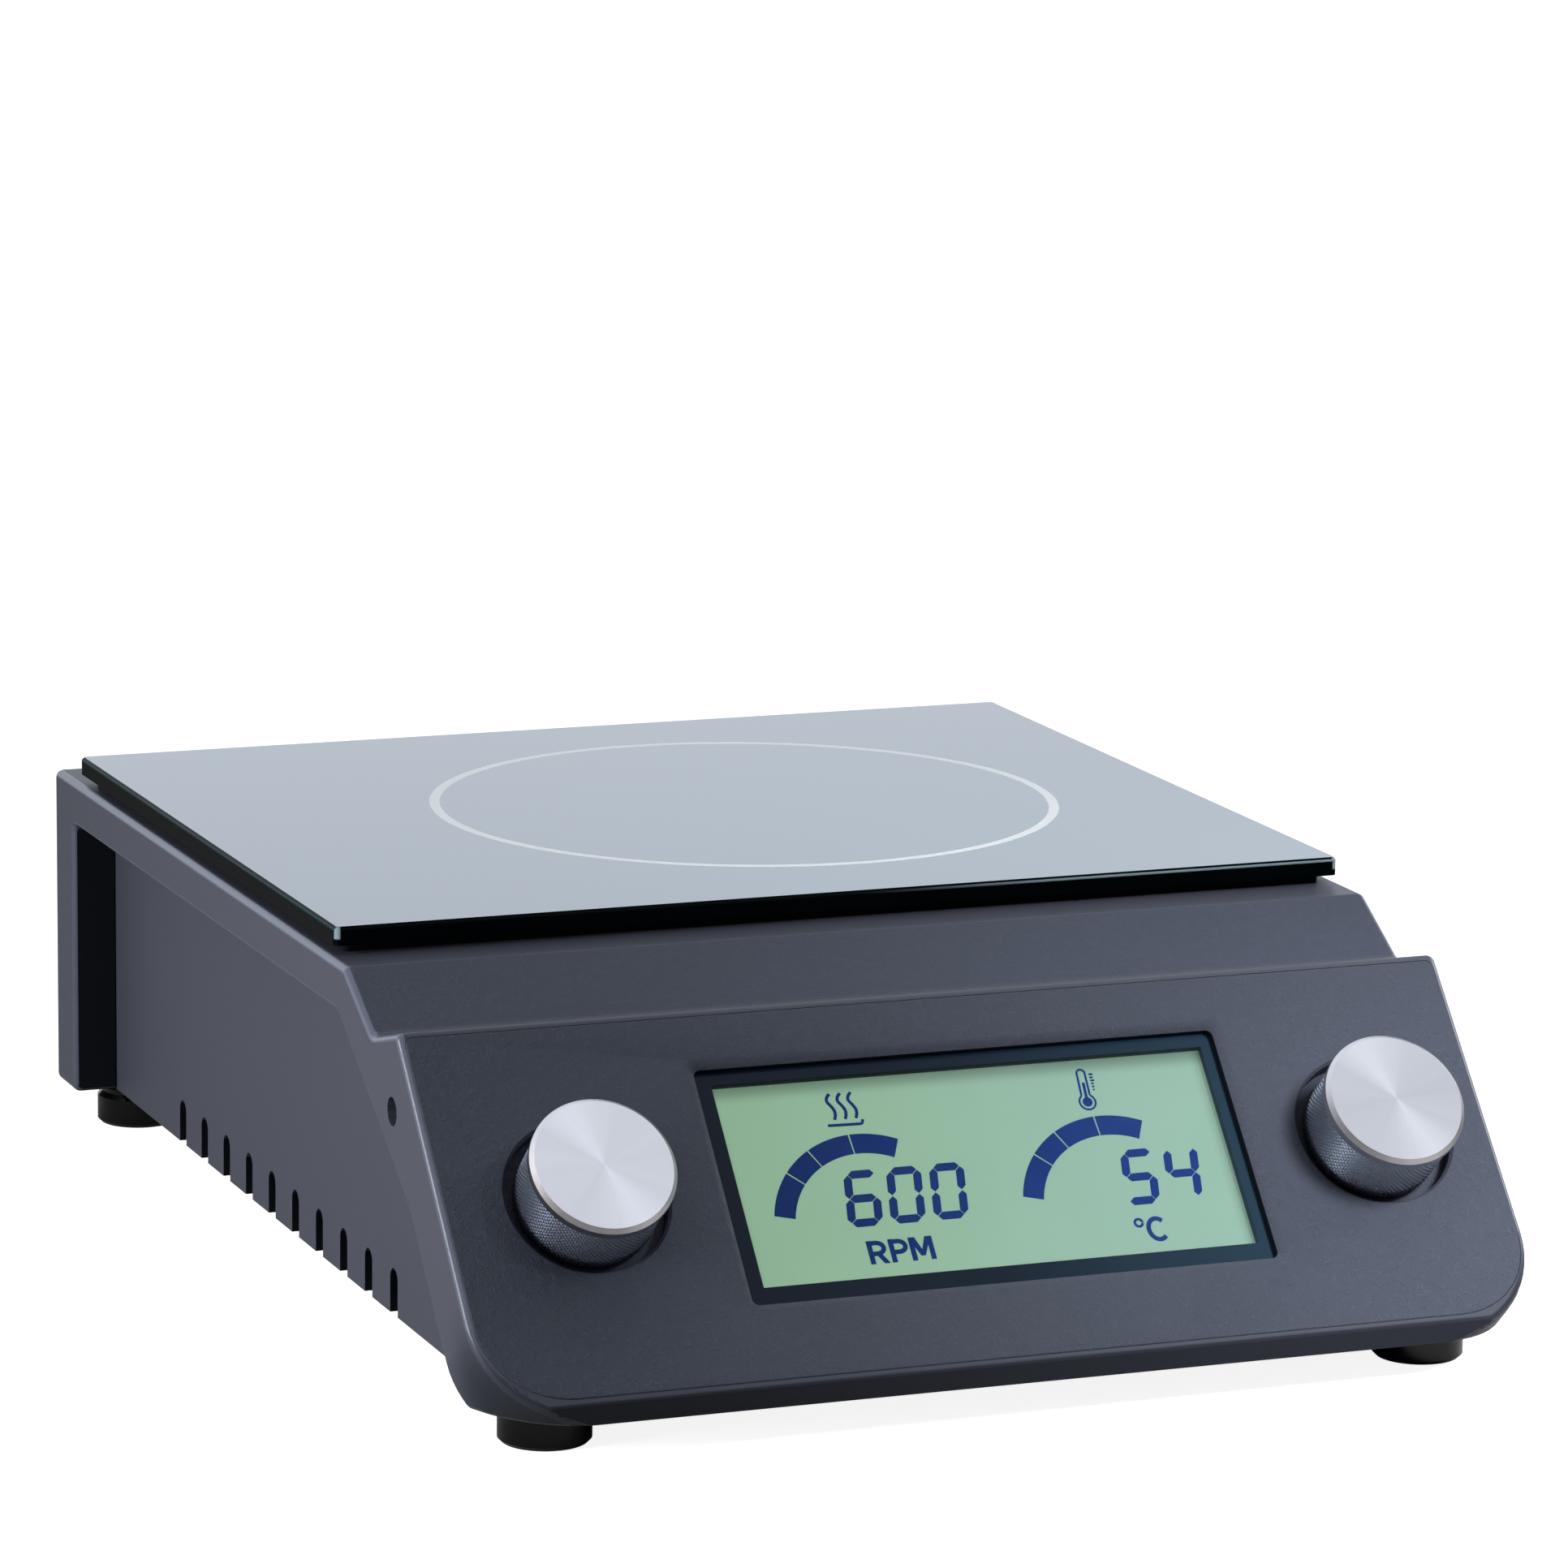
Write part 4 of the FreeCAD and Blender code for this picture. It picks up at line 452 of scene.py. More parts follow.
def rimmed(name):
    """Bevel round the display, as a painted highlight: grey much lighter than the face, with a painted bright line
    where it meets the face.
    """
    made, shader, place = new_material(name)
    skin = surface(MOULDED, place, {"Colour": paint(138, 144, 158), "Grain Size": 0.3, "Roughness": 0.26})
    across, up = face_place(place)
    wide = minus(maths("ABSOLUTE", minus(across, WINDOW_X * MM)), WINDOW_HALF * MM)
    tall = minus(maths("ABSOLUTE", up), WINDOW_RISE * MM)
    # Painted highlight: the bright line along the bevel's outer edge
    rim = ramp(maths("MAXIMUM", wide, tall), 0.0011, 0.0015)
    feed(shader, {"Base Color": blend(rim, skin["Colour"], paint(226, 229, 236)), "Roughness": skin["Roughness"],
                  "Specular IOR Level": 0.8, "Normal": bump(skin["Height"], 0.000004)})
    return made


def liquid_crystal(name):
    """Green display cell: brighter to the right, with a painted shadow of the frame's edges along its top, left and
    right.
    """
    made, shader, place = new_material(name)
    across, up = face_place(place)
    low_x, high_x, _, high_v = [value * MM for value in GREEN_BOX]
    slide = plus(ramp(across, low_x, high_x), times(minus(noise(place, 22.0, 2.0), 0.5), 0.35))
    green = blend(slide, paint(140, 177, 148), paint(137, 172, 157))
    # Painted shadow of the frame's edges on the cell: top, left and right
    top = ramp(up, high_v - 0.0042, high_v - 0.0002, 1.0, 0.55)
    left = ramp(across, low_x, low_x + 0.0016, 0.85, 1.0)
    right = ramp(across, high_x - 0.0030, high_x, 1.0, 0.72)
    mesh = ramp(noise(place, 2600.0, 1.0), 0.3, 0.7, 0.975, 1.0)
    lit = toned(green, times(times(top, times(left, right)), mesh))
    feed(shader, {"Base Color": blend(0.7, lit, (0.0, 0.0, 0.0, 1.0)), "Emission Color": lit,
                  "Emission Strength": 0.80, "Roughness": 0.5, "Specular IOR Level": 0.15})
    return made


def banded(name, first, second, axis, pitch, share, roughness, metallic=0.0):
    """Even bands along one axis: laminations, ribbon wires, sleeves."""
    made, shader, place = new_material(name)
    wave_place = maths("FRACT", maths("DIVIDE", split(place)[axis], pitch))
    mask = ramp(wave_place, share - 0.06, share + 0.06)
    grime = noise(place, 160.0, 3.0)
    feed(shader, {"Base Color": toned(blend(mask, first, second), ramp(grime, 0.2, 0.8, 0.88, 1.08)),
                  "Roughness": ramp(grime, 0.2, 0.8, roughness - 0.06, roughness + 0.06), "Metallic": metallic,
                  "Normal": bump(mask, 0.00005)})
    return made


def circuit_board(name):
    """Green board with pale copper tracks under its lacquer."""
    made, shader, place = new_material(name)
    cells = node(made.node_tree, "ShaderNodeTexBrick", {
        "Vector": place, "Scale": 220.0, "Mortar Size": 0.03, "Color1": (0, 0, 0, 1),
        "Color2": (0.25, 0.25, 0.25, 1), "Mortar": (1, 1, 1, 1)})
    spots = node(made.node_tree, "ShaderNodeTexVoronoi", {"Vector": place, "Scale": 260.0})
    pads = ramp(spots.outputs["Distance"], 0.16, 0.2, 1.0, 0.0)
    tracks = blend(cells.outputs["Color"], paint(24, 84, 48), paint(60, 128, 78))
    feed(shader, {"Base Color": blend(pads, tracks, paint(176, 178, 168)), "Roughness": 0.35,
                  "Normal": bump(pads, 0.00004)})
    return made


def fibre(name):
    """Pressed insulating fibre, off white and rough."""
    made, shader, place = new_material(name)
    fluff = noise(place, 420.0, 8.0, Roughness=0.75)
    feed(shader, {"Base Color": blend(fluff, paint(196, 192, 182), paint(236, 233, 226)), "Roughness": 0.95,
                  "Normal": bump(fluff, 0.0003)})
    return made


def clear_pane(name, tint, alpha, roughness):
    """Thin clear plastic or glass."""
    made, shader, place = new_material(name)
    smear = noise(place, 70.0, 3.0)
    feed(shader, {"Roughness": ramp(smear, 0.3, 0.7, roughness, roughness + 0.03),
                  "Base Color": blend(smear, tint, paint(225, 235, 230)), "Alpha": alpha})
    return made


def frame_ink(name):
    """Dark printed border behind the window: near black at left, with a painted blue-grey reflection toward the
    right.
    """
    made, shader, place = new_material(name)
    cloud = noise(place, 30.0, 3.0)
    # Painted reflection: the border gets lighter and bluer toward the right
    slide = plus(ramp(split(place)["X"], -0.02, 0.066), times(minus(cloud, 0.5), 0.4))
    feed(shader, {"Base Color": blend(slide, paint(12, 24, 38), paint(26, 46, 60)),
                  "Roughness": ramp(cloud, 0.3, 0.7, 0.16, 0.24), "Specular IOR Level": 0.12})
    return made


def display_ink(name):
    """Dark blue of the lit segments."""
    made, shader, place = new_material(name)
    feed(shader, {"Base Color": blend(noise(place, 500.0, 2.0), paint(5, 40, 104), paint(9, 46, 114)),
                  "Roughness": 0.6, "Specular IOR Level": 0.02})
    return made


def glowing(name, colour, strength):
    """Diffuser that gives off a little light."""
    made, shader, place = new_material(name)
    dots = node(made.node_tree, "ShaderNodeTexVoronoi", {"Vector": place, "Scale": 900.0}).outputs["Distance"]
    tone = blend(ramp(dots, 0.1, 0.5), colour, paint(245, 250, 240))
    feed(shader, {"Base Color": tone, "Emission Color": tone, "Emission Strength": strength, "Roughness": 0.4})
    return made


# Moulded finishes: colour, roughness, drift, grain, leather, relief, specular and, where it has one, coat
# The housing and its rims carry a painted shade band under the control face
HOUSING = with_painted_chin_shade(moulded("housing_smooth", paint(65, 68, 78), 0.44, 0.06, 0.22, 0.0, 0.000008, 0.22),
                         paint(35, 38, 46), (0.1, 0.4))
# Rims: glossier than the housing (real), and lighter and bluer as a painted highlight along the edges
EDGE_HIGHLIGHT = with_painted_chin_shade(moulded("housing_edge_painted_highlight", paint(72, 78, 93), 0.30, 0.06, 0.22, 0.0, 0.000004, 0.55),
                      paint(42, 46, 56), (1.1, 1.4))
GRAINED = moulded("housing_grained", paint(61, 66, 79), 0.50, 0.06, 0.75, 1.0, 0.00009, 0.22)
PLATE = moulded("plate_grained", paint(64, 69, 81), 0.48, 0.06, 0.75, 1.0, 0.00010, 0.24)
# Bevel with a painted highlight, given only to the left and bottom bevels, which face the light
BEVEL = rimmed("bevel_painted_highlight")
# Near black, used as painted shade on the vents' walls, the display opening's walls and the rear columns' front
# walls
SHADE_BLACK = moulded("painted_shade_black", paint(12, 14, 20), 0.5, 0.06, 0.3, 0.0, 0.00001, 0.2)
TUB = moulded("tub_smooth", paint(62, 65, 75), 0.5, 0.08, 0.25, 0.0, 0.00001, 0.22)
FOOT = moulded("foot_gloss", paint(4, 4, 5), 0.22, 0.1, 0.5, 0.0, 0.00001, 0.3, 0.15)
SEAL = moulded("seal_rubber", paint(9, 11, 15), 0.75, 0.1, 0.4, 0.0, 0.00003, 0.1)
CHIP = moulded("moulded_black", paint(24, 24, 27), 0.48, 0.12, 0.35, 0.0, 0.00002, 0.4)
ROCKER = marked_rocker("rocker_gloss")
NYLON = moulded("natural_nylon", paint(226, 224, 214), 0.45, 0.06, 0.5, 0.0, 0.00001, 0.4)
TERMINAL = moulded("terminal_green", paint(40, 128, 66), 0.35, 0.08, 0.5, 0.0, 0.00001, 0.5)
LEAD = moulded("lead_sleeve", paint(168, 40, 32), 0.5, 0.12, 0.6, 0.0, 0.00003, 0.4)
STEATITE = moulded("limiter_steatite", paint(228, 222, 208), 0.7, 0.08, 0.3, 0.0, 0.00003, 0.3)
MOTOR = moulded("motor_paint", paint(30, 31, 34), 0.35, 0.08, 0.5, 0.0, 0.00001, 0.5, 0.2)
# Metals: colour, roughness, stretch of the streaks, their strength and, where it differs, relief
SHEET = metal("plated_sheet", paint(176, 178, 178), 0.38, (1, 0.03, 1), 0.2)
COIL = metal("heating_ribbon", paint(96, 86, 78), 0.6, (1, 1, 0.05), 0.5, 0.00002)
SCREW = metal("plated_screw", paint(168, 168, 166), 0.32, (1, 1, 0.1), 0.2)
SHAFT = metal("ground_steel", paint(196, 197, 198), 0.22, (1, 1, 0.05), 0.15)
CARRIER = metal("turned_carrier", paint(190, 192, 195), 0.34, (1, 1, 1), 0.15)
NICKEL = metal("nickel_magnet", paint(184, 178, 166), 0.18, (1, 1, 1), 0.1)
SINK = metal("extruded_sink", paint(120, 122, 126), 0.42, (1, 1, 0.03), 0.25)
ENCODER = metal("encoder_can", paint(158, 159, 160), 0.36, (0.05, 1, 1), 0.2)
BRASS = metal("limit_brass", paint(186, 152, 86), 0.3, (1, 1, 1), 0.2)
SOCKET = metal("turned_socket", paint(164, 166, 168), 0.3, (1, 0.03, 1), 0.2)
KNURL = metal("knurl_metal", paint(120, 128, 144), 0.40, (1, 1, 1), 0.18, 0.000003)
# Same metal as the knurl, made dark as painted shade in the grooves between the diamonds
KNURL_ROOT_SHADE = metal("knurl_root_painted_shade", paint(34, 38, 48), 0.5, (1, 1, 1), 0.18, 0.000003)
CAN = banded("capacitor_sleeve", paint(30, 50, 96), paint(26, 44, 88), "Z", 0.0125, 0.9, 0.3)
CORE = banded("iron_laminations", paint(58, 58, 60), paint(40, 40, 42), "Y", 0.0007, 0.6, 0.55, 0.5)
RIBBON = banded("ribbon_wires", paint(158, 160, 162), paint(126, 128, 132), "X", 0.00127, 0.8, 0.5)
BOARD = circuit_board("circuit_board")
FIBRE = fibre("liner_fibre")
GLASS = glass_plate("glass_ceramic")
GLASS_EDGE = glass_edge("glass_edge")
GREEN = liquid_crystal("liquid_crystal")
INK = display_ink("segment_ink")
BORDER = frame_ink("window_border")
PANE = clear_pane("window_clear", paint(70, 90, 84), 0.015, 0.04)
FUSE = clear_pane("fuse_tube", paint(205, 215, 215), 0.5, 0.05)
LIGHT = glowing("light_diffuser", paint(226, 240, 214), 0.4)

FINISHES = (
    (TUB, "base_tub"), (CAN, "capacitors"), (BOARD, "control_board power_board"), (FUSE, "fuse"),
    (CHIP, "board_chips fuse_drawer heater_switch limit_trimmer mains_inlet switch_housing"),
    (NYLON, "display_spacers push_plunger_left push_plunger_right"),
    (ENCODER, "encoder_left encoder_right encoder_nuts"), (SCREW, "foot_screws housing_screws inner_screws"),
    (SEAL, "glass_seal"), (STEATITE, "heat_limiter"), (SINK, "heat_sink"), (COIL, "heater_coil"),
    (SHEET, "heat_shield heater_pan heater_strap motor_bracket"), (LEAD, "heater_leads mains_leads"),
    (FIBRE, "heater_liner"), (SHAFT, "inlet_blades knob_stem_left knob_stem_right stir_shaft"),
    (LIGHT, "lcd_backlight"), (GREEN, "lcd_glass"), (BRASS, "limit_screw"), (CARRIER, "magnet_carrier"),
    (SOCKET, "probe_socket rod_socket"), (RIBBON, "signal_ribbon"), (NICKEL, "stir_magnets"),
    (MOTOR, "stir_motor"), (ROCKER, "switch_rocker"), (TERMINAL, "terminal_block"), (CORE, "transformer"))


def finish_solids():
    """Gives each solid that stays in view its material, and the walls of the vents in the floor's sides a black one
    that paints their shade.
    """
    for material, names in FINISHES:
        for name in names.split():
            data = NODES[name].data
            data.materials.clear()
            data.materials.append(material)
    # Painted shade: the walls of the vents are made near black
    tub = NODES["base_tub"].data
    tub.materials.append(SHADE_BLACK)
    for face in tub.polygons:
        wall = abs(face.center.x) > VENT_IN and face.center.z < VENT_TOP
        if wall and abs(face.normal.x) < 0.3 and face.normal.z > -0.5:
            face.material_index = 1


# Meshes

def link(obj):
    bpy.context.scene.collection.objects.link(obj)
    return obj


def settle(obj, body, slot, *replaced):
    """Rides a finished piece on its body and hides the solids that it replaces."""
    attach(obj, body)
    if replaced:
        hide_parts(*replaced)


def evaluated_copy(obj, name):
    """Plain mesh of an object with its modifiers applied."""
    bpy.context.view_layer.update()
    graph = bpy.context.evaluated_depsgraph_get()
    data = bpy.data.meshes.new_from_object(obj.evaluated_get(graph), depsgraph=graph)
    data.name = name
    old = obj.data
    bpy.data.objects.remove(obj)
    if old.users == 0:
        bpy.data.meshes.remove(old)
    return link(bpy.data.objects.new(name, data))


def edit(data, distance, change):
    """Merges a mesh's doubled points and changes it."""
    build = bmesh.new()
    build.from_mesh(data)
    bmesh.ops.remove_doubles(build, verts=build.verts, dist=distance)
    change(build)
    build.to_mesh(data)
    build.free()


def shade_smooth(build, angle):
    """Smooth faces, parted where two of them meet at more than an angle in degrees."""
    for face in build.faces:
        face.smooth = True
    for edge in build.edges:
        edge.smooth = len(edge.link_faces) == 2 and edge.calc_face_angle(0.0) < math.radians(angle)


def smooth_skin(node_name, name, material, angle=40.0):
    """Merged copy of a solid's mesh, shaded smooth over its rounds and flat on its faces."""
    data = NODES[node_name].data.copy()
    data.materials.clear()
    data.materials.append(material)

    def skin(build):
        shade_smooth(build, angle)
        for face in build.faces:
            face.material_index = 0

    edit(data, 2e-6, skin)
    obj = link(bpy.data.objects.new(name, data))
    weigh = obj.modifiers.new("face_weights", "WEIGHTED_NORMAL")
    weigh.mode = "FACE_AREA"
    weigh.weight = 80
    weigh.keep_sharp = True
    return evaluated_copy(obj, name)


def on_face(x, up, out):
    """Point on the control face: mm across, up its slope and out of it."""
    return (Vector((x, 0.0, 0.0)) + FACE_CENTRE - DOWN_FACE * up + OUT_OF_FACE * out) * MM


def face_matrix(x):
    """Turns a mesh made about Z in mm into one standing on the control face."""
    across = Vector((1.0, 0.0, 0.0))
    turn = Matrix((across, -DOWN_FACE, OUT_OF_FACE)).transposed().to_4x4()
    return Matrix.Translation(on_face(x, 0, 0)) @ turn @ Matrix.Scale(MM, 4)


def mesh_object(name, points, faces, material):
    data = bpy.data.meshes.new(name)
    data.from_pydata([tuple(p) for p in points], [], faces)
    data.validate()
    data.materials.append(material)
    return link(bpy.data.objects.new(name, data))


def outward(obj):
    """Turns the faces of a closed mesh outward."""
    edit(obj.data, 1e-7, lambda build: bmesh.ops.recalc_face_normals(build, faces=build.faces))
    return obj


def add_prism(points, faces, outline, low, high):
    """Adds a closed plate with the given outline on the control face."""
    start = len(points)
    count = len(outline)
    for level in (low, high):
        points.extend(on_face(x, up, level) for x, up in outline)
    faces.append([start + i for i in reversed(range(count))])
    faces.append([start + count + i for i in range(count)])
    for i in range(count):
        j = (i + 1) % count
        faces.append([start + i, start + j, start + count + j, start + count + i])


def box_outline(x0, x1, v0, v1):
    return [(x0, v0), (x1, v0), (x1, v1), (x0, v1)]


def ring_plate(name, outer, inner, low, high, material):
    """Closed rectangular ring on the face with rounded edges, from its outer and inner boxes."""
    points, faces = [], []
    for level in (low, high):
        for box in (outer, inner):
            points.extend(on_face(x, up, level) for x, up in box_outline(*box))
    for i in range(4):
        j = (i + 1) % 4
        faces += [[i, j, 8 + j, 8 + i], [4 + j, 4 + i, 12 + i, 12 + j],
                  [8 + i, 8 + j, 12 + j, 12 + i], [j, i, 4 + i, 4 + j]]
    obj = mesh_object(name, points, faces, material)
    bevel = obj.modifiers.new("round", "BEVEL")
    bevel.width = FRAME_ROUND
    bevel.segments = 2
    return outward(evaluated_copy(obj, name))


def turned(name, profile, material):
    """Solid of revolution about Z from a closed profile of (radius, height) in mm."""
    points, faces = [], []
    count = len(profile)
    for i in range(TURNED_STEPS):
        angle = 2 * math.pi * i / TURNED_STEPS
        points.extend((r * math.cos(angle), r * math.sin(angle), h) for r, h in profile)
        here, there = i * count, (i + 1) % TURNED_STEPS * count
        for k in range(count):
            m = (k + 1) % count
            faces.append([here + k, there + k, there + m, here + m])
    obj = mesh_object(name, points, faces, material)

    def close(build):
        bmesh.ops.dissolve_degenerate(build, edges=build.edges, dist=1e-5)
        bmesh.ops.recalc_face_normals(build, faces=build.faces)
        shade_smooth(build, 30.0)

    edit(obj.data, 1e-4, close)
    return obj


def join(name, parts):
    """One mesh from several objects, which are removed."""
    build = bmesh.new()
    materials = []
    for part in parts:
        shift = []
        for material in part.data.materials:
            if material not in materials:
                materials.append(material)
            shift.append(materials.index(material))
        first = len(build.faces)
        build.from_mesh(part.data)
        build.faces.ensure_lookup_table()
        for face in build.faces[first:]:
            face.material_index = shift[face.material_index] if shift else 0
    data = bpy.data.meshes.new(name)
    build.to_mesh(data)
    build.free()
    for material in materials:
        data.materials.append(material)
    for part in parts:
        bpy.data.objects.remove(part)
    return link(bpy.data.objects.new(name, data))


# Geometry node trees

def run_tree(tree, name, values, points=()):
    """Plain mesh that a geometry node tree makes with the given inputs and points."""
    seed = bpy.data.meshes.new(name + "_seed")
    seed.from_pydata(list(points), [], [])
    obj = link(bpy.data.objects.new(name + "_tree", seed))
    modifier = obj.modifiers.new("nodes", "NODES")
    modifier.node_group = tree
    for item in tree.interface.items_tree:
        if item.item_type == "SOCKET" and item.in_out == "INPUT" and item.name in values:
            modifier[item.identifier] = values[item.name]
    return evaluated_copy(obj, name)


def one_mesh(end, points, instance, material, **placing):
    """Ends a tree with one flat shaded mesh of an instance on each point."""
    tree = end.id_data
    spread = node(tree, "GeometryNodeInstanceOnPoints", {"Points": points, "Instance": instance, **placing})
    real = node(tree, "GeometryNodeRealizeInstances", {"Geometry": spread.outputs[0]})
    flat = node(tree, "GeometryNodeSetShadeSmooth", {"Geometry": real.outputs[0], "Shade Smooth": False})
    final = node(tree, "GeometryNodeSetMaterial", {"Geometry": flat.outputs[0], "Material": material})
    feed(end, {"Geometry": final.outputs[0]})
    return tree


def make_knurl_tree():
    """Diamond knurl: rows of small pyramids round a cylinder about Z, in mm."""
    tree, ins, end = new_tree("diamond_knurl", "GeometryNodeTree", [
        ("Geometry", SHAPE, None), ("Radius", FLOAT, 15.0), ("Depth", FLOAT, 0.3), ("Low", FLOAT, 0.0),
        ("High", FLOAT, 10.0), ("Around", COUNT, 90), ("Rows", COUNT, 20), ("Material", FINISH, None)],
        [("Geometry", SHAPE)])
    line = node(tree, "GeometryNodeMeshLine", {"Count": times(ins["Around"], ins["Rows"])})
    index = node(tree, "GeometryNodeInputIndex").outputs[0]
    row = maths("FLOOR", maths("DIVIDE", plus(index, 0.5), ins["Around"]))
    step = minus(index, times(row, ins["Around"]))
    stagger = times(maths("MODULO", row, 2.0), 0.5)
    slice_angle = maths("DIVIDE", 2 * math.pi, ins["Around"])
    angle = times(plus(step, stagger), slice_angle)
    pitch = maths("DIVIDE", minus(ins["High"], ins["Low"]), plus(ins["Rows"], 1.0))
    height = plus(ins["Low"], times(pitch, plus(row, 1.0)))
    root = minus(ins["Radius"], ins["Depth"])
    place = xyz(tree, times(root, maths("COSINE", angle)), times(root, maths("SINE", angle)), height)
    placed = node(tree, "GeometryNodeSetPosition", {"Geometry": line.outputs[0], "Position": place})
    pyramid = node(tree, "GeometryNodeMeshCone", {"Vertices": 4, "Radius Top": 0.0, "Radius Bottom": 1.0,
                                                  "Depth": 1.0})
    half = times(slice_angle, 0.5, ins["Radius"])
    return one_mesh(end, placed.outputs[0], pyramid.outputs[0], ins["Material"],
                    Rotation=xyz(tree, 0.0, math.pi / 2, angle), Scale=xyz(tree, pitch, half, ins["Depth"]))


def make_screw_tree():
    """Screws with a cross recess, heads down, one on each point of the seed, in mm."""
    tree, ins, end = new_tree("cross_screws", "GeometryNodeTree", [
        ("Geometry", SHAPE, None), ("Head Radius", FLOAT, 3.4), ("Head Height", FLOAT, 2.0),
        ("Shank Radius", FLOAT, 1.8), ("Shank Length", FLOAT, 11.0), ("Cross Span", FLOAT, 3.4),
        ("Cross Width", FLOAT, 0.75), ("Cross Depth", FLOAT, 1.3), ("Material", FINISH, None)],
        [("Geometry", SHAPE)])

    def cylinder(vertices, radius, depth, middle):
        round_bar = node(tree, "GeometryNodeMeshCylinder", {"Vertices": vertices, "Radius": radius, "Depth": depth})
        lifted = {"Geometry": round_bar.outputs[0], "Translation": xyz(tree, 0.0, 0.0, middle)}
        return node(tree, "GeometryNodeTransform", lifted).outputs[0]

    head = cylinder(48, ins["Head Radius"], ins["Head Height"], times(ins["Head Height"], 0.5))
    for along, aside in (("Cross Span", "Cross Width"), ("Cross Width", "Cross Span")):
        size = xyz(tree, ins[along], ins[aside], times(ins["Cross Depth"], 2.0))
        block = node(tree, "GeometryNodeMeshCube", {"Size": size})
        head = node(tree, "GeometryNodeMeshBoolean", {"Mesh 1": head, "Mesh 2": block.outputs[0]},
                    operation="DIFFERENCE").outputs[0]
    shank = cylinder(24, ins["Shank Radius"], ins["Shank Length"],
                     plus(ins["Head Height"], times(ins["Shank Length"], 0.5)))
    both = feed(node(tree, "GeometryNodeJoinGeometry", {0: head}), {0: shank})
    return one_mesh(end, ins["Geometry"], both.outputs[0], ins["Material"])


# Pieces

def make_housing():
    """Shell, control panel and feet, with a finish for each kind of surface, a painted highlight on rims and
    display bevels and painted shade on some walls.
    """
    shell = smooth_skin("upper_housing", "housing_shell", HOUSING)
    for material in (GRAINED, EDGE_HIGHLIGHT, SHADE_BLACK):
        shell.data.materials.append(material)
    for face in shell.data.polygons:
        centre, way = face.center, face.normal
        slope = SLOPE_DEPTH[0] < centre.y < SLOPE_DEPTH[1] and centre.z > SLOPE_FOOT
        outside = abs(centre.x) > SIDE_OUT or centre.y < FRONT_REAR
        column = abs(centre.x) > RECESS_IN and COLUMN_DEPTH[0] < centre.y < COLUMN_DEPTH[1]
        plain = max(abs(way.x), max(way.dot(flat) for flat in FLAT_WAYS))
        if slope and way.dot(SLOPE_WAY) > 0.96:
            face.material_index = 1
        # Narrow rounds of the rims get the glossier, lighter material: partly real gloss, partly painted highlight
        elif outside and plain < FLAT_ENOUGH and abs(way.dot(OUT_OF_FACE)) > 0.06:
            face.material_index = 2
        # Painted shade: the rear columns' front-facing walls inside the side recess are made near black
        elif column and way.y < -0.9:
            face.material_index = 3
    settle(shell, "housing", "housing_plastic", "upper_housing")
    plate = smooth_skin("control_panel", "face_plate", PLATE)
    for material in (SHADE_BLACK, BEVEL):
        plate.data.materials.append(material)
    for face in plate.data.polygons:
        offset = face.center / MM - FACE_CENTRE
        across, down, out = offset.x - WINDOW_X, offset.dot(DOWN_FACE), offset.dot(OUT_OF_FACE)
        tilt = abs(face.normal.dot(OUT_OF_FACE))
        near = abs(across) < WINDOW_HALF + 3.0 and abs(down) < WINDOW_RISE + 3.0
        # Painted shade: the display opening's walls are made near black
        if near and out < WALL_TOP + 0.02 and tilt < 0.2:
            face.material_index = 1
        # Painted highlight: only the left and bottom bevels, which face the light, get the lighter bevel material
        elif near and 0.3 < tilt < FLAT_ENOUGH and (across < 1.0 - WINDOW_HALF or down > WINDOW_RISE - 1.0):
            face.material_index = 2
    settle(plate, "housing", "panel_plastic", "control_panel")
    for name in ("foot_front_left", "foot_front_right", "foot_rear_left", "foot_rear_right"):
        foot = smooth_skin(name, name.replace("foot_", "pad_"), FOOT)
        settle(foot, "housing", "foot_rubber", name)


def make_glass():
    plate = smooth_skin("glass_top", "glass_plate", GLASS, 20.0)
    plate.data.materials.append(GLASS_EDGE)
    for face in plate.data.polygons:
        if abs(face.normal.z) < 0.9 and face.center.z < GLASS_BEVEL_TOP:
            face.material_index = 1
    settle(plate, "housing", "glass_ceramic", "glass_top")


def make_knobs():
    tree = make_knurl_tree()
    outer = SKIRT_RADIUS - KNURL_DEPTH
    inner = SKIRT_RADIUS - SKIRT_WALL
    profile = [(0.0, SKIRT_TOP), (0.0, STEM_TOP), (STEM_RADIUS, STEM_TOP), (STEM_RADIUS, HUB_LOW),
               (HUB_RADIUS, HUB_LOW), (HUB_RADIUS, HOLLOW_TOP), (inner, HOLLOW_TOP), (inner, SKIRT_LOW),
               (outer, SKIRT_LOW), (outer, SKIRT_TOP)]
    for side, x in KNOBS.items():
        # The core between the diamonds carries the painted shade of the grooves
        core = turned("skirt_core_" + side, profile, KNURL_ROOT_SHADE)
        diamonds = run_tree(tree, "skirt_knurl_" + side, {
            "Radius": SKIRT_RADIUS, "Depth": KNURL_DEPTH, "Low": SKIRT_LOW + KNURL_INSET,
            "High": SKIRT_TOP - KNURL_INSET, "Around": KNURL_AROUND, "Rows": KNURL_ROWS, "Material": KNURL})
        skirt = join("knurled_skirt_" + side, [core, diamonds])
        skirt.data.transform(face_matrix(x))
        settle(skirt, "knob_" + side, "knob_skirt_metal", "knob_skirt_" + side)
        cap_metal = spun_metal("spun_cap_" + side, on_face(x, 0, 0), paint(224, 221, 224))
        cap = smooth_skin("knob_cap_" + side, "spun_cap_" + side, cap_metal, 24.0)
        settle(cap, "knob_" + side, "knob_cap_metal", "knob_cap_" + side)


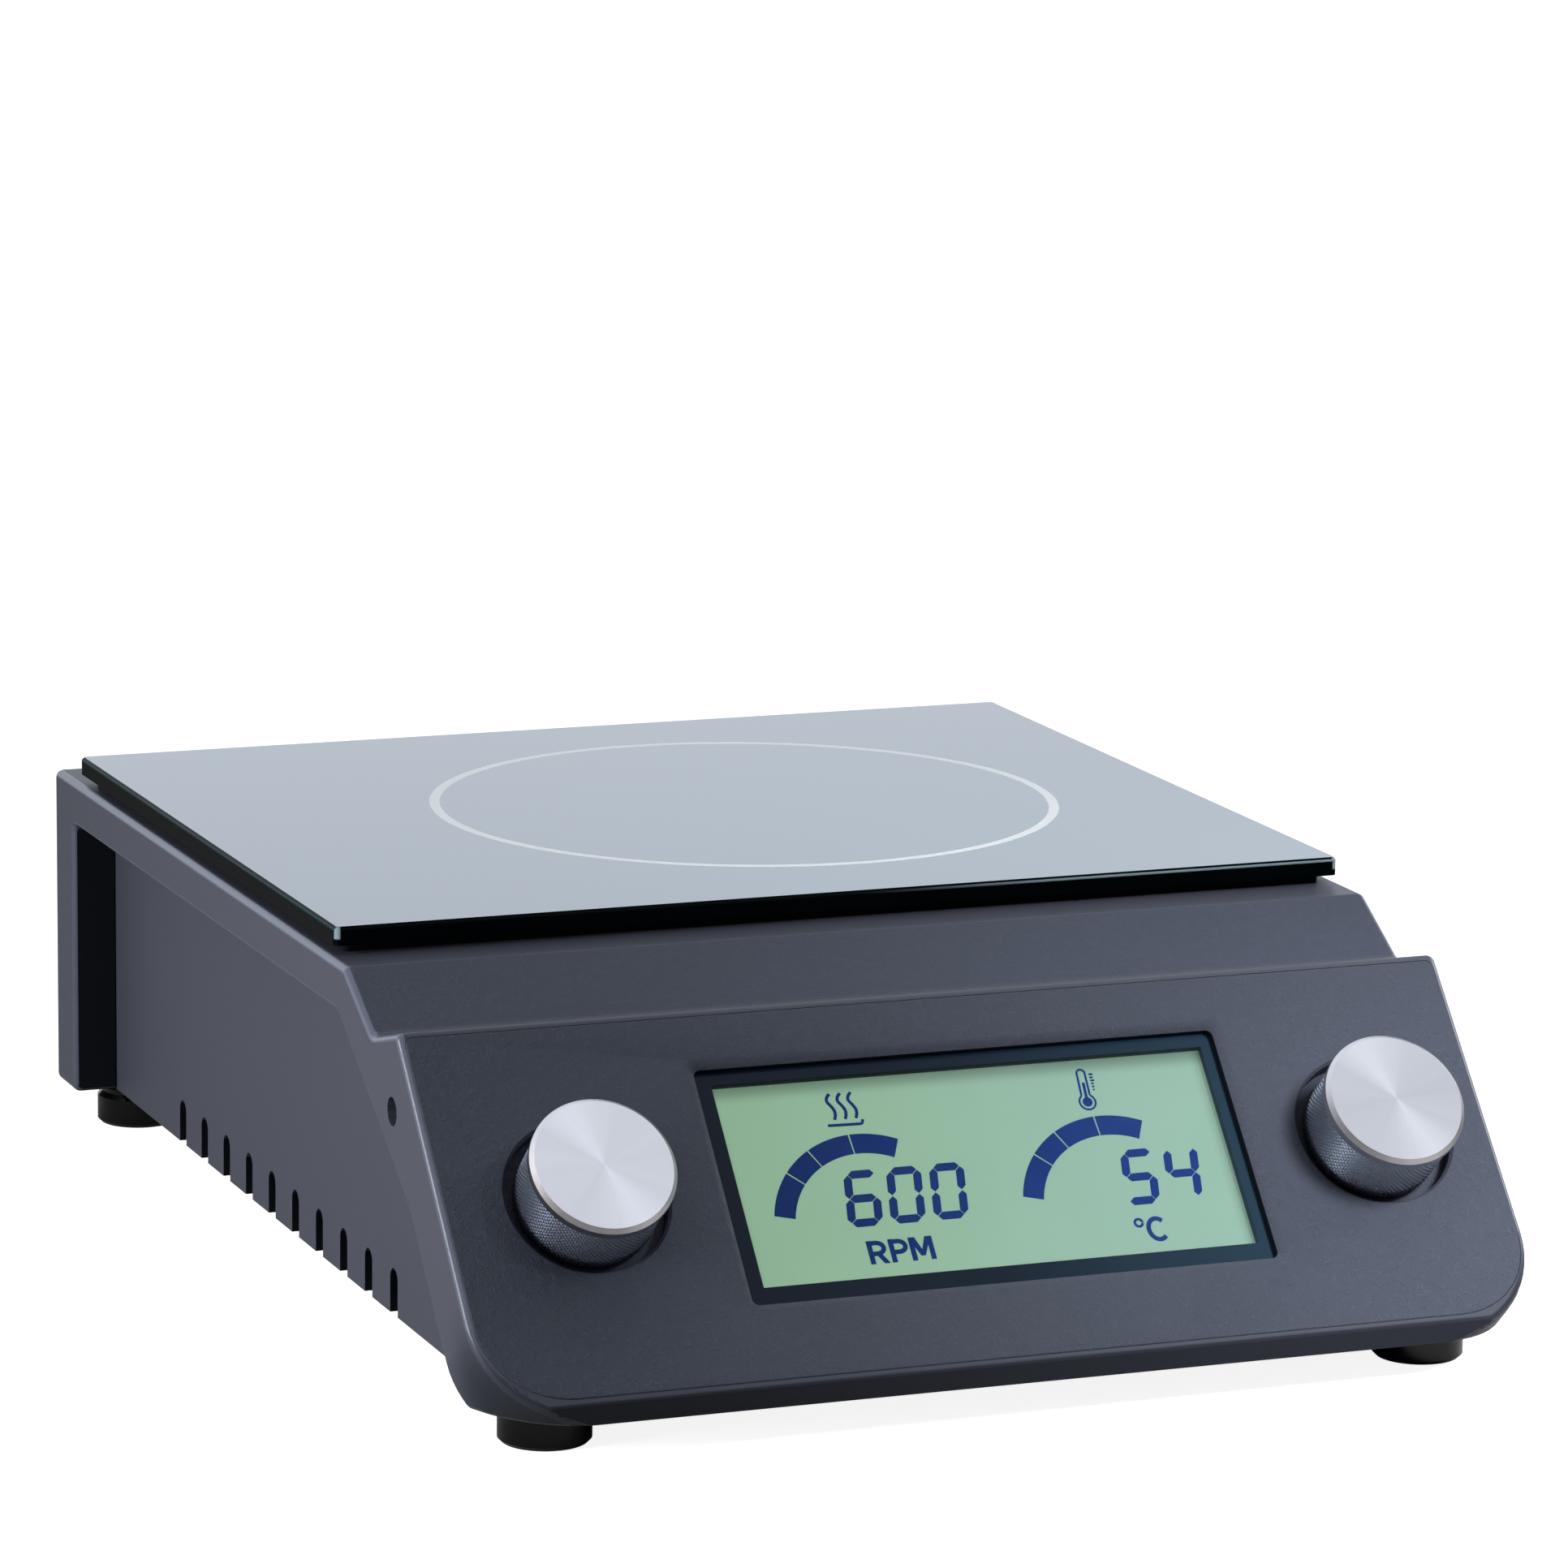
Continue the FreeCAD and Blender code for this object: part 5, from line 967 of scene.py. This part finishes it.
def make_screws():
    """Screws of the floor and the feet, their heads seen from below."""
    tree = make_screw_tree()
    for node_name, (low, shank, places) in SCREWS.items():
        points = [(side * x, y, low) for x, y in places for side in (-1, 1)]
        values = {**SCREW_HEAD, "Shank Length": shank, "Material": SCREW}
        made = run_tree(tree, "crossed_" + node_name, values, points)
        made.data.transform(Matrix.Scale(MM, 4))
        settle(made, "housing", "screw_steel", node_name)


def make_window():
    """Dark frame and clear pane of the display."""
    outer = (WINDOW_X - WINDOW_HALF, WINDOW_X + WINDOW_HALF, -WINDOW_RISE, WINDOW_RISE)
    border = ring_plate("window_frame", outer, GREEN_BOX, WINDOW_BACK, WINDOW_FACE, BORDER)
    settle(border, "housing", "display_lens", "display_window")
    points, faces = [], []
    add_prism(points, faces, box_outline(*GREEN_BOX), PANE_BACK, PANE_FACE)
    pane = outward(mesh_object("window_pane", points, faces, PANE))
    settle(pane, "housing", "display_lens", "display_window")


def digit_outlines(origin, lit):
    """Seven segments, leaning to the right, from the digit's lower left corner."""
    width, tall, lean, bar, gap = 7.7, 12.85, 0.155, 1.8, 0.1
    mid = tall / 2
    half = bar / 2

    def across(v):
        return [(half + gap, v), (bar + gap, v + half), (width - bar - gap, v + half), (width - half - gap, v),
                (width - bar - gap, v - half), (bar + gap, v - half)]

    def upright(u, low, high):
        return [(u, low + gap), (u + half, low + half + gap), (u + half, high - half - gap), (u, high - gap),
                (u - half, high - half - gap), (u - half, low + half + gap)]

    bars = {"a": across(tall - half), "g": across(mid), "d": across(half),
            "b": upright(width - half, mid, tall - half), "c": upright(width - half, half, mid),
            "e": upright(half, half, mid), "f": upright(half, mid, tall - half)}
    return [[(origin[0] + u + v * lean, origin[1] + v) for u, v in bars[key]] for key in lit]


def arc_outline(centre, inner, outer, start, stop, steps=14):
    """Outline of a band round a centre, between two angles in degrees."""
    angles = [math.radians(start + (stop - start) * i / steps) for i in range(steps + 1)]
    rim = [(centre[0] + outer * math.cos(a), centre[1] + outer * math.sin(a)) for a in angles]
    back = [(centre[0] + inner * math.cos(a), centre[1] + inner * math.sin(a)) for a in reversed(angles)]
    return rim + back


def stroke(points, width):
    """Outline of a line of even width through the points."""
    left, right = [], []
    for i, point in enumerate(points):
        before = Vector(points[max(i - 1, 0)])
        after = Vector(points[min(i + 1, len(points) - 1)])
        way = (after - before).normalized()
        side = Vector((-way.y, way.x)) * width / 2
        left.append((point[0] + side.x, point[1] + side.y))
        right.append((point[0] - side.x, point[1] - side.y))
    return left + right[::-1]


def wave(x, steps=18):
    """Rising line of warm air, a smooth curve through its knots from foot to curled top."""
    knots = WAVE_KNOTS
    line = []
    for i in range(steps + 1):
        spot = i / steps * (len(knots) - 1)
        k = min(int(spot), len(knots) - 2)
        share = spot - k
        before, after = knots[max(k - 1, 0)], knots[min(k + 2, len(knots) - 1)]
        place = []
        for a, b, c, d in zip(before, knots[k], knots[k + 1], after):
            curve = 2 * a - 5 * b + 4 * c - d + share * (3 * (b - c) + d - a)
            place.append(b + 0.5 * share * (c - a + share * curve))
        line.append((place[0] + x, place[1]))
    return line


def unit_outlines():
    """The letters of the two units, built from bars, bowls and slants."""
    low, bar, reach = LETTER_LOW, LETTER_BAR, BOWL_REACH
    top = low + LETTER_TALL

    def block(x):
        return box_outline(x, x + bar, low, top)

    def bowl(x):
        turn = [(x + 2.05 + reach * math.cos(a), top - bar / 2 - reach * 0.8 + reach * 0.8 * math.sin(a))
                for a in [math.radians(90 - 15 * i) for i in range(13)]]
        return stroke([(x + 0.3, top - bar / 2)] + turn + [(x + 0.3, top - bar / 2 - reach * 1.6)], bar * 0.92)

    curl = [(36.75 + 2.0 * math.cos(a), -17.1 + 2.42 * math.sin(a)) for a in
            [math.radians(46 + 13.4 * i) for i in range(21)]]
    return [block(-27.5), bowl(-27.5), [(-26.0, -16.9), (-24.75, -17.0), (-23.25, low), (-24.5, low)],
            block(-22.75), bowl(-22.75), block(-18.3), block(-14.2),
            [(-18.2, top), (-16.85, top), (-15.2, low + 1.0), (-16.25, low + 1.0)],
            [(-13.3, top), (-14.6, top), (-16.3, low + 1.0), (-15.3, low + 1.0)], stroke(curl, 1.0)]


def make_readout():
    """Lit segments of the display: two gauges, two numbers, two signs and their units."""
    outlines = []
    for x, up, lit in ((-30.3, -10.7, "afgecd"), (-20.9, -10.7, "abcdef"), (-11.4, -10.7, "abcdef"),
                       (31.3, -11.25, "afgcd"), (41.0, -11.25, "fgbc")):
        outlines += digit_outlines((x, up), lit)
    for centre in ((-23.6, -12.0), (31.1, -12.5)):
        for start, stop in ((166.0, 138.9), (138.0, 119.9), (119.0, 93.9), (93.0, 66.0)):
            outlines.append(arc_outline(centre, 18.0, 22.5, start, stop))
    for x in (0.0, 2.36, 4.72):
        outlines.append(stroke(wave(x), 0.68))
    outlines.append(stroke([(-28.8, 12.9), (-21.75, 12.75), (-21.3, 12.85), (-20.9, 13.75)], 0.62))
    outlines.append(arc_outline(BULB, 0.0, 1.1, 0, 360, 24)[:-25])
    outlines.append(arc_outline(BULB, 1.56, 1.98, 121, 419, 30))
    outlines.append(stroke([(28.42, 15.05), (28.72, TUBE_TOP)], 0.44))
    outlines.append(stroke([(30.3, 15.05), (30.52, TUBE_TOP)], 0.44))
    outlines.append(arc_outline((29.62, TUBE_TOP), 0.68, 1.12, 0, 180, 12))
    outlines.append(stroke([(29.37, 14.0), (29.6, 18.0)], 0.62))
    for i, reach in enumerate((0.85, 0.7, 0.85, 0.55, 0.5, 0.4)):
        outlines.append(stroke([(31.35, 19.85 - 0.72 * i), (31.35 + reach, 19.8 - 0.72 * i)], 0.44 - 0.02 * i))
    outlines.append(arc_outline((32.9, -15.35), 0.58, 1.12, 0, 350, 30))
    outlines += unit_outlines()
    points, faces = [], []
    for i, outline in enumerate(outlines):
        moved = [(x + READOUT_SHIFT[0], up + READOUT_SHIFT[1]) for x, up in outline]
        add_prism(points, faces, moved, WINDOW_BACK, INK_TOP + INK_STEP * (i % 5))
    readout = outward(mesh_object("display_segments", points, faces, INK))
    settle(readout, "housing", "display_lens")


# Room, lamps and camera

def rays(tree):
    """Whether a ray is one that the camera sees by, and whether it is a mirrored one."""
    path = node(tree, "ShaderNodeLightPath").outputs
    return maths("MAXIMUM", path["Is Camera Ray"], path["Is Transmission Ray"]), path["Is Glossy Ray"]


def make_floor():
    """White paper floor, dim to the light that it throws back and clear from below."""
    made, shader, _ = new_material("floor_paper")
    tree = made.node_tree
    seen, glossy = rays(tree)
    dim = blend(glossy, (FLOOR_BOUNCE, FLOOR_BOUNCE, FLOOR_BOUNCE, 1), (FLOOR_GLOSS, FLOOR_GLOSS, FLOOR_GLOSS, 1))
    feed(shader, {"Base Color": blend(seen, dim, (0.8, 0.8, 0.8, 1)), "Roughness": 0.9, "Specular IOR Level": 0.0,
                  "Emission Color": (1, 1, 1, 1), "Emission Strength": times(seen, 0.88)})
    back = node(tree, "ShaderNodeNewGeometry").outputs["Backfacing"]
    clear = node(tree, "ShaderNodeBsdfTransparent").outputs[0]
    sheet = node(tree, "ShaderNodeMixShader", {0: back, 1: shader.outputs[0], 2: clear}).outputs[0]
    feed(tree.nodes["Material Output"], {"Surface": sheet})
    corners = [(x, y, FLOOR_LEVEL) for x, y in box_outline(-FLOOR_REACH, FLOOR_REACH, -FLOOR_REACH, FLOOR_REACH)]
    floor = mesh_object("floor_sheet", corners, [(0, 1, 2, 3)], made)


def make_backdrop():
    """Surroundings: white to the camera, a wall and a bright ceiling to mirrors, dim as a source of light."""
    world = bpy.data.worlds.new("studio")
    bpy.context.scene.world = world
    world.use_nodes = True
    tree = world.node_tree
    tree.nodes.clear()
    seen, glossy = rays(tree)
    way = split(node(tree, "ShaderNodeTexCoord").outputs["Generated"])
    wall = times(ramp(way["Y"], 0.1, 0.6), ramp(way["Z"], 0.35, 0.7, 1.0, 0.0), BACKDROP_GLOSS)
    gloss = plus(0.08, wall, times(ramp(way["Z"], 0.4, 0.85), OVERHEAD_GLOSS))
    shown = maths("MAXIMUM", seen, times(glossy, gloss))
    other = minus(1.0, maths("MAXIMUM", seen, glossy))
    sky = ramp(way["Z"], 0.0, 1.0, AMBIENT_LOW, AMBIENT_HIGH, False)
    cool = blend(glossy, (1, 1, 1, 1), (0.88, 0.96, 1.05, 1))
    light = node(tree, "ShaderNodeBackground", {"Color": cool, "Strength": plus(shown, times(other, sky))})
    node(tree, "ShaderNodeOutputWorld", {"Surface": light.outputs[0]})


def hang(data, place, target, power, mirrored):
    """Puts a light in its place, turned to its target."""
    data.energy = power
    obj = link(bpy.data.objects.new(data.name, data))
    obj.location = place
    obj.rotation_euler = (Vector(target) - Vector(place)).to_track_quat("-Z", "Y").to_euler()
    obj.visible_glossy = mirrored


def lamp(name, place, target, size, power, mirrored=True):
    """Rectangular soft light."""
    data = bpy.data.lights.new(name, "AREA")
    data.shape = "RECTANGLE"
    data.size, data.size_y = size
    hang(data, place, target, power, mirrored)


def spot(name, place, target, angle, power):
    """Soft round light that reaches only the parts near its target and shows in no mirror."""
    data = bpy.data.lights.new(name, "SPOT")
    data.spot_size = math.radians(angle)
    data.spot_blend = 1.0
    data.shadow_soft_size = 0.1
    hang(data, place, target, power, False)


def make_lamps():
    spot("sheen_right", (0.32, -0.50, 0.47), (0.13, -0.155, 0.03), 33.0, 33.0)
    lamp("softbox_left", (-0.58, -0.17, 0.11), (-0.1, -0.07, 0.03), (0.22, 0.18), 2.6, False)
    lamp("edge_strip", (-1.05, 0.06, 0.42), (-0.1, -0.05, 0.05), (0.5, 0.12), 4.0)
    lamp("strip_right", (1.1, 0.0, 0.6), (0.0, -0.12, 0.05), (0.4, 0.4), 2.5)
    lamp("softbox_top", (0.1, 0.3, 1.5), (0.0, 0.0, 0.0), (0.9, 0.9), 1.5)


def make_camera():
    yaw, pitch, roll = [math.radians(angle) for angle in CAMERA_TURNS]
    right = Vector((math.cos(yaw), math.sin(yaw), 0))
    ahead = Vector((-math.sin(yaw) * math.cos(pitch), math.cos(yaw) * math.cos(pitch), -math.sin(pitch)))
    up = right.cross(ahead)
    side = math.cos(roll) * right + math.sin(roll) * up
    top = -math.sin(roll) * right + math.cos(roll) * up
    data = bpy.data.cameras.new("camera")
    data.sensor_width = SENSOR_WIDTH
    data.lens = SENSOR_WIDTH * FOCAL_PIXELS / PICTURE_PIXELS
    data.clip_start = 0.05
    obj = link(bpy.data.objects.new("camera", data))
    turn = Matrix((side, top, -ahead)).transposed().to_4x4()
    obj.matrix_world = Matrix.Translation(CAMERA_PLACE) @ turn
    bpy.context.scene.camera = obj


make_camera()
finish_solids()
make_housing()
make_glass()
make_knobs()
make_window()
make_readout()
make_screws()
make_floor()
make_backdrop()
make_lamps()
bpy.context.scene.view_settings.view_transform = "Standard"
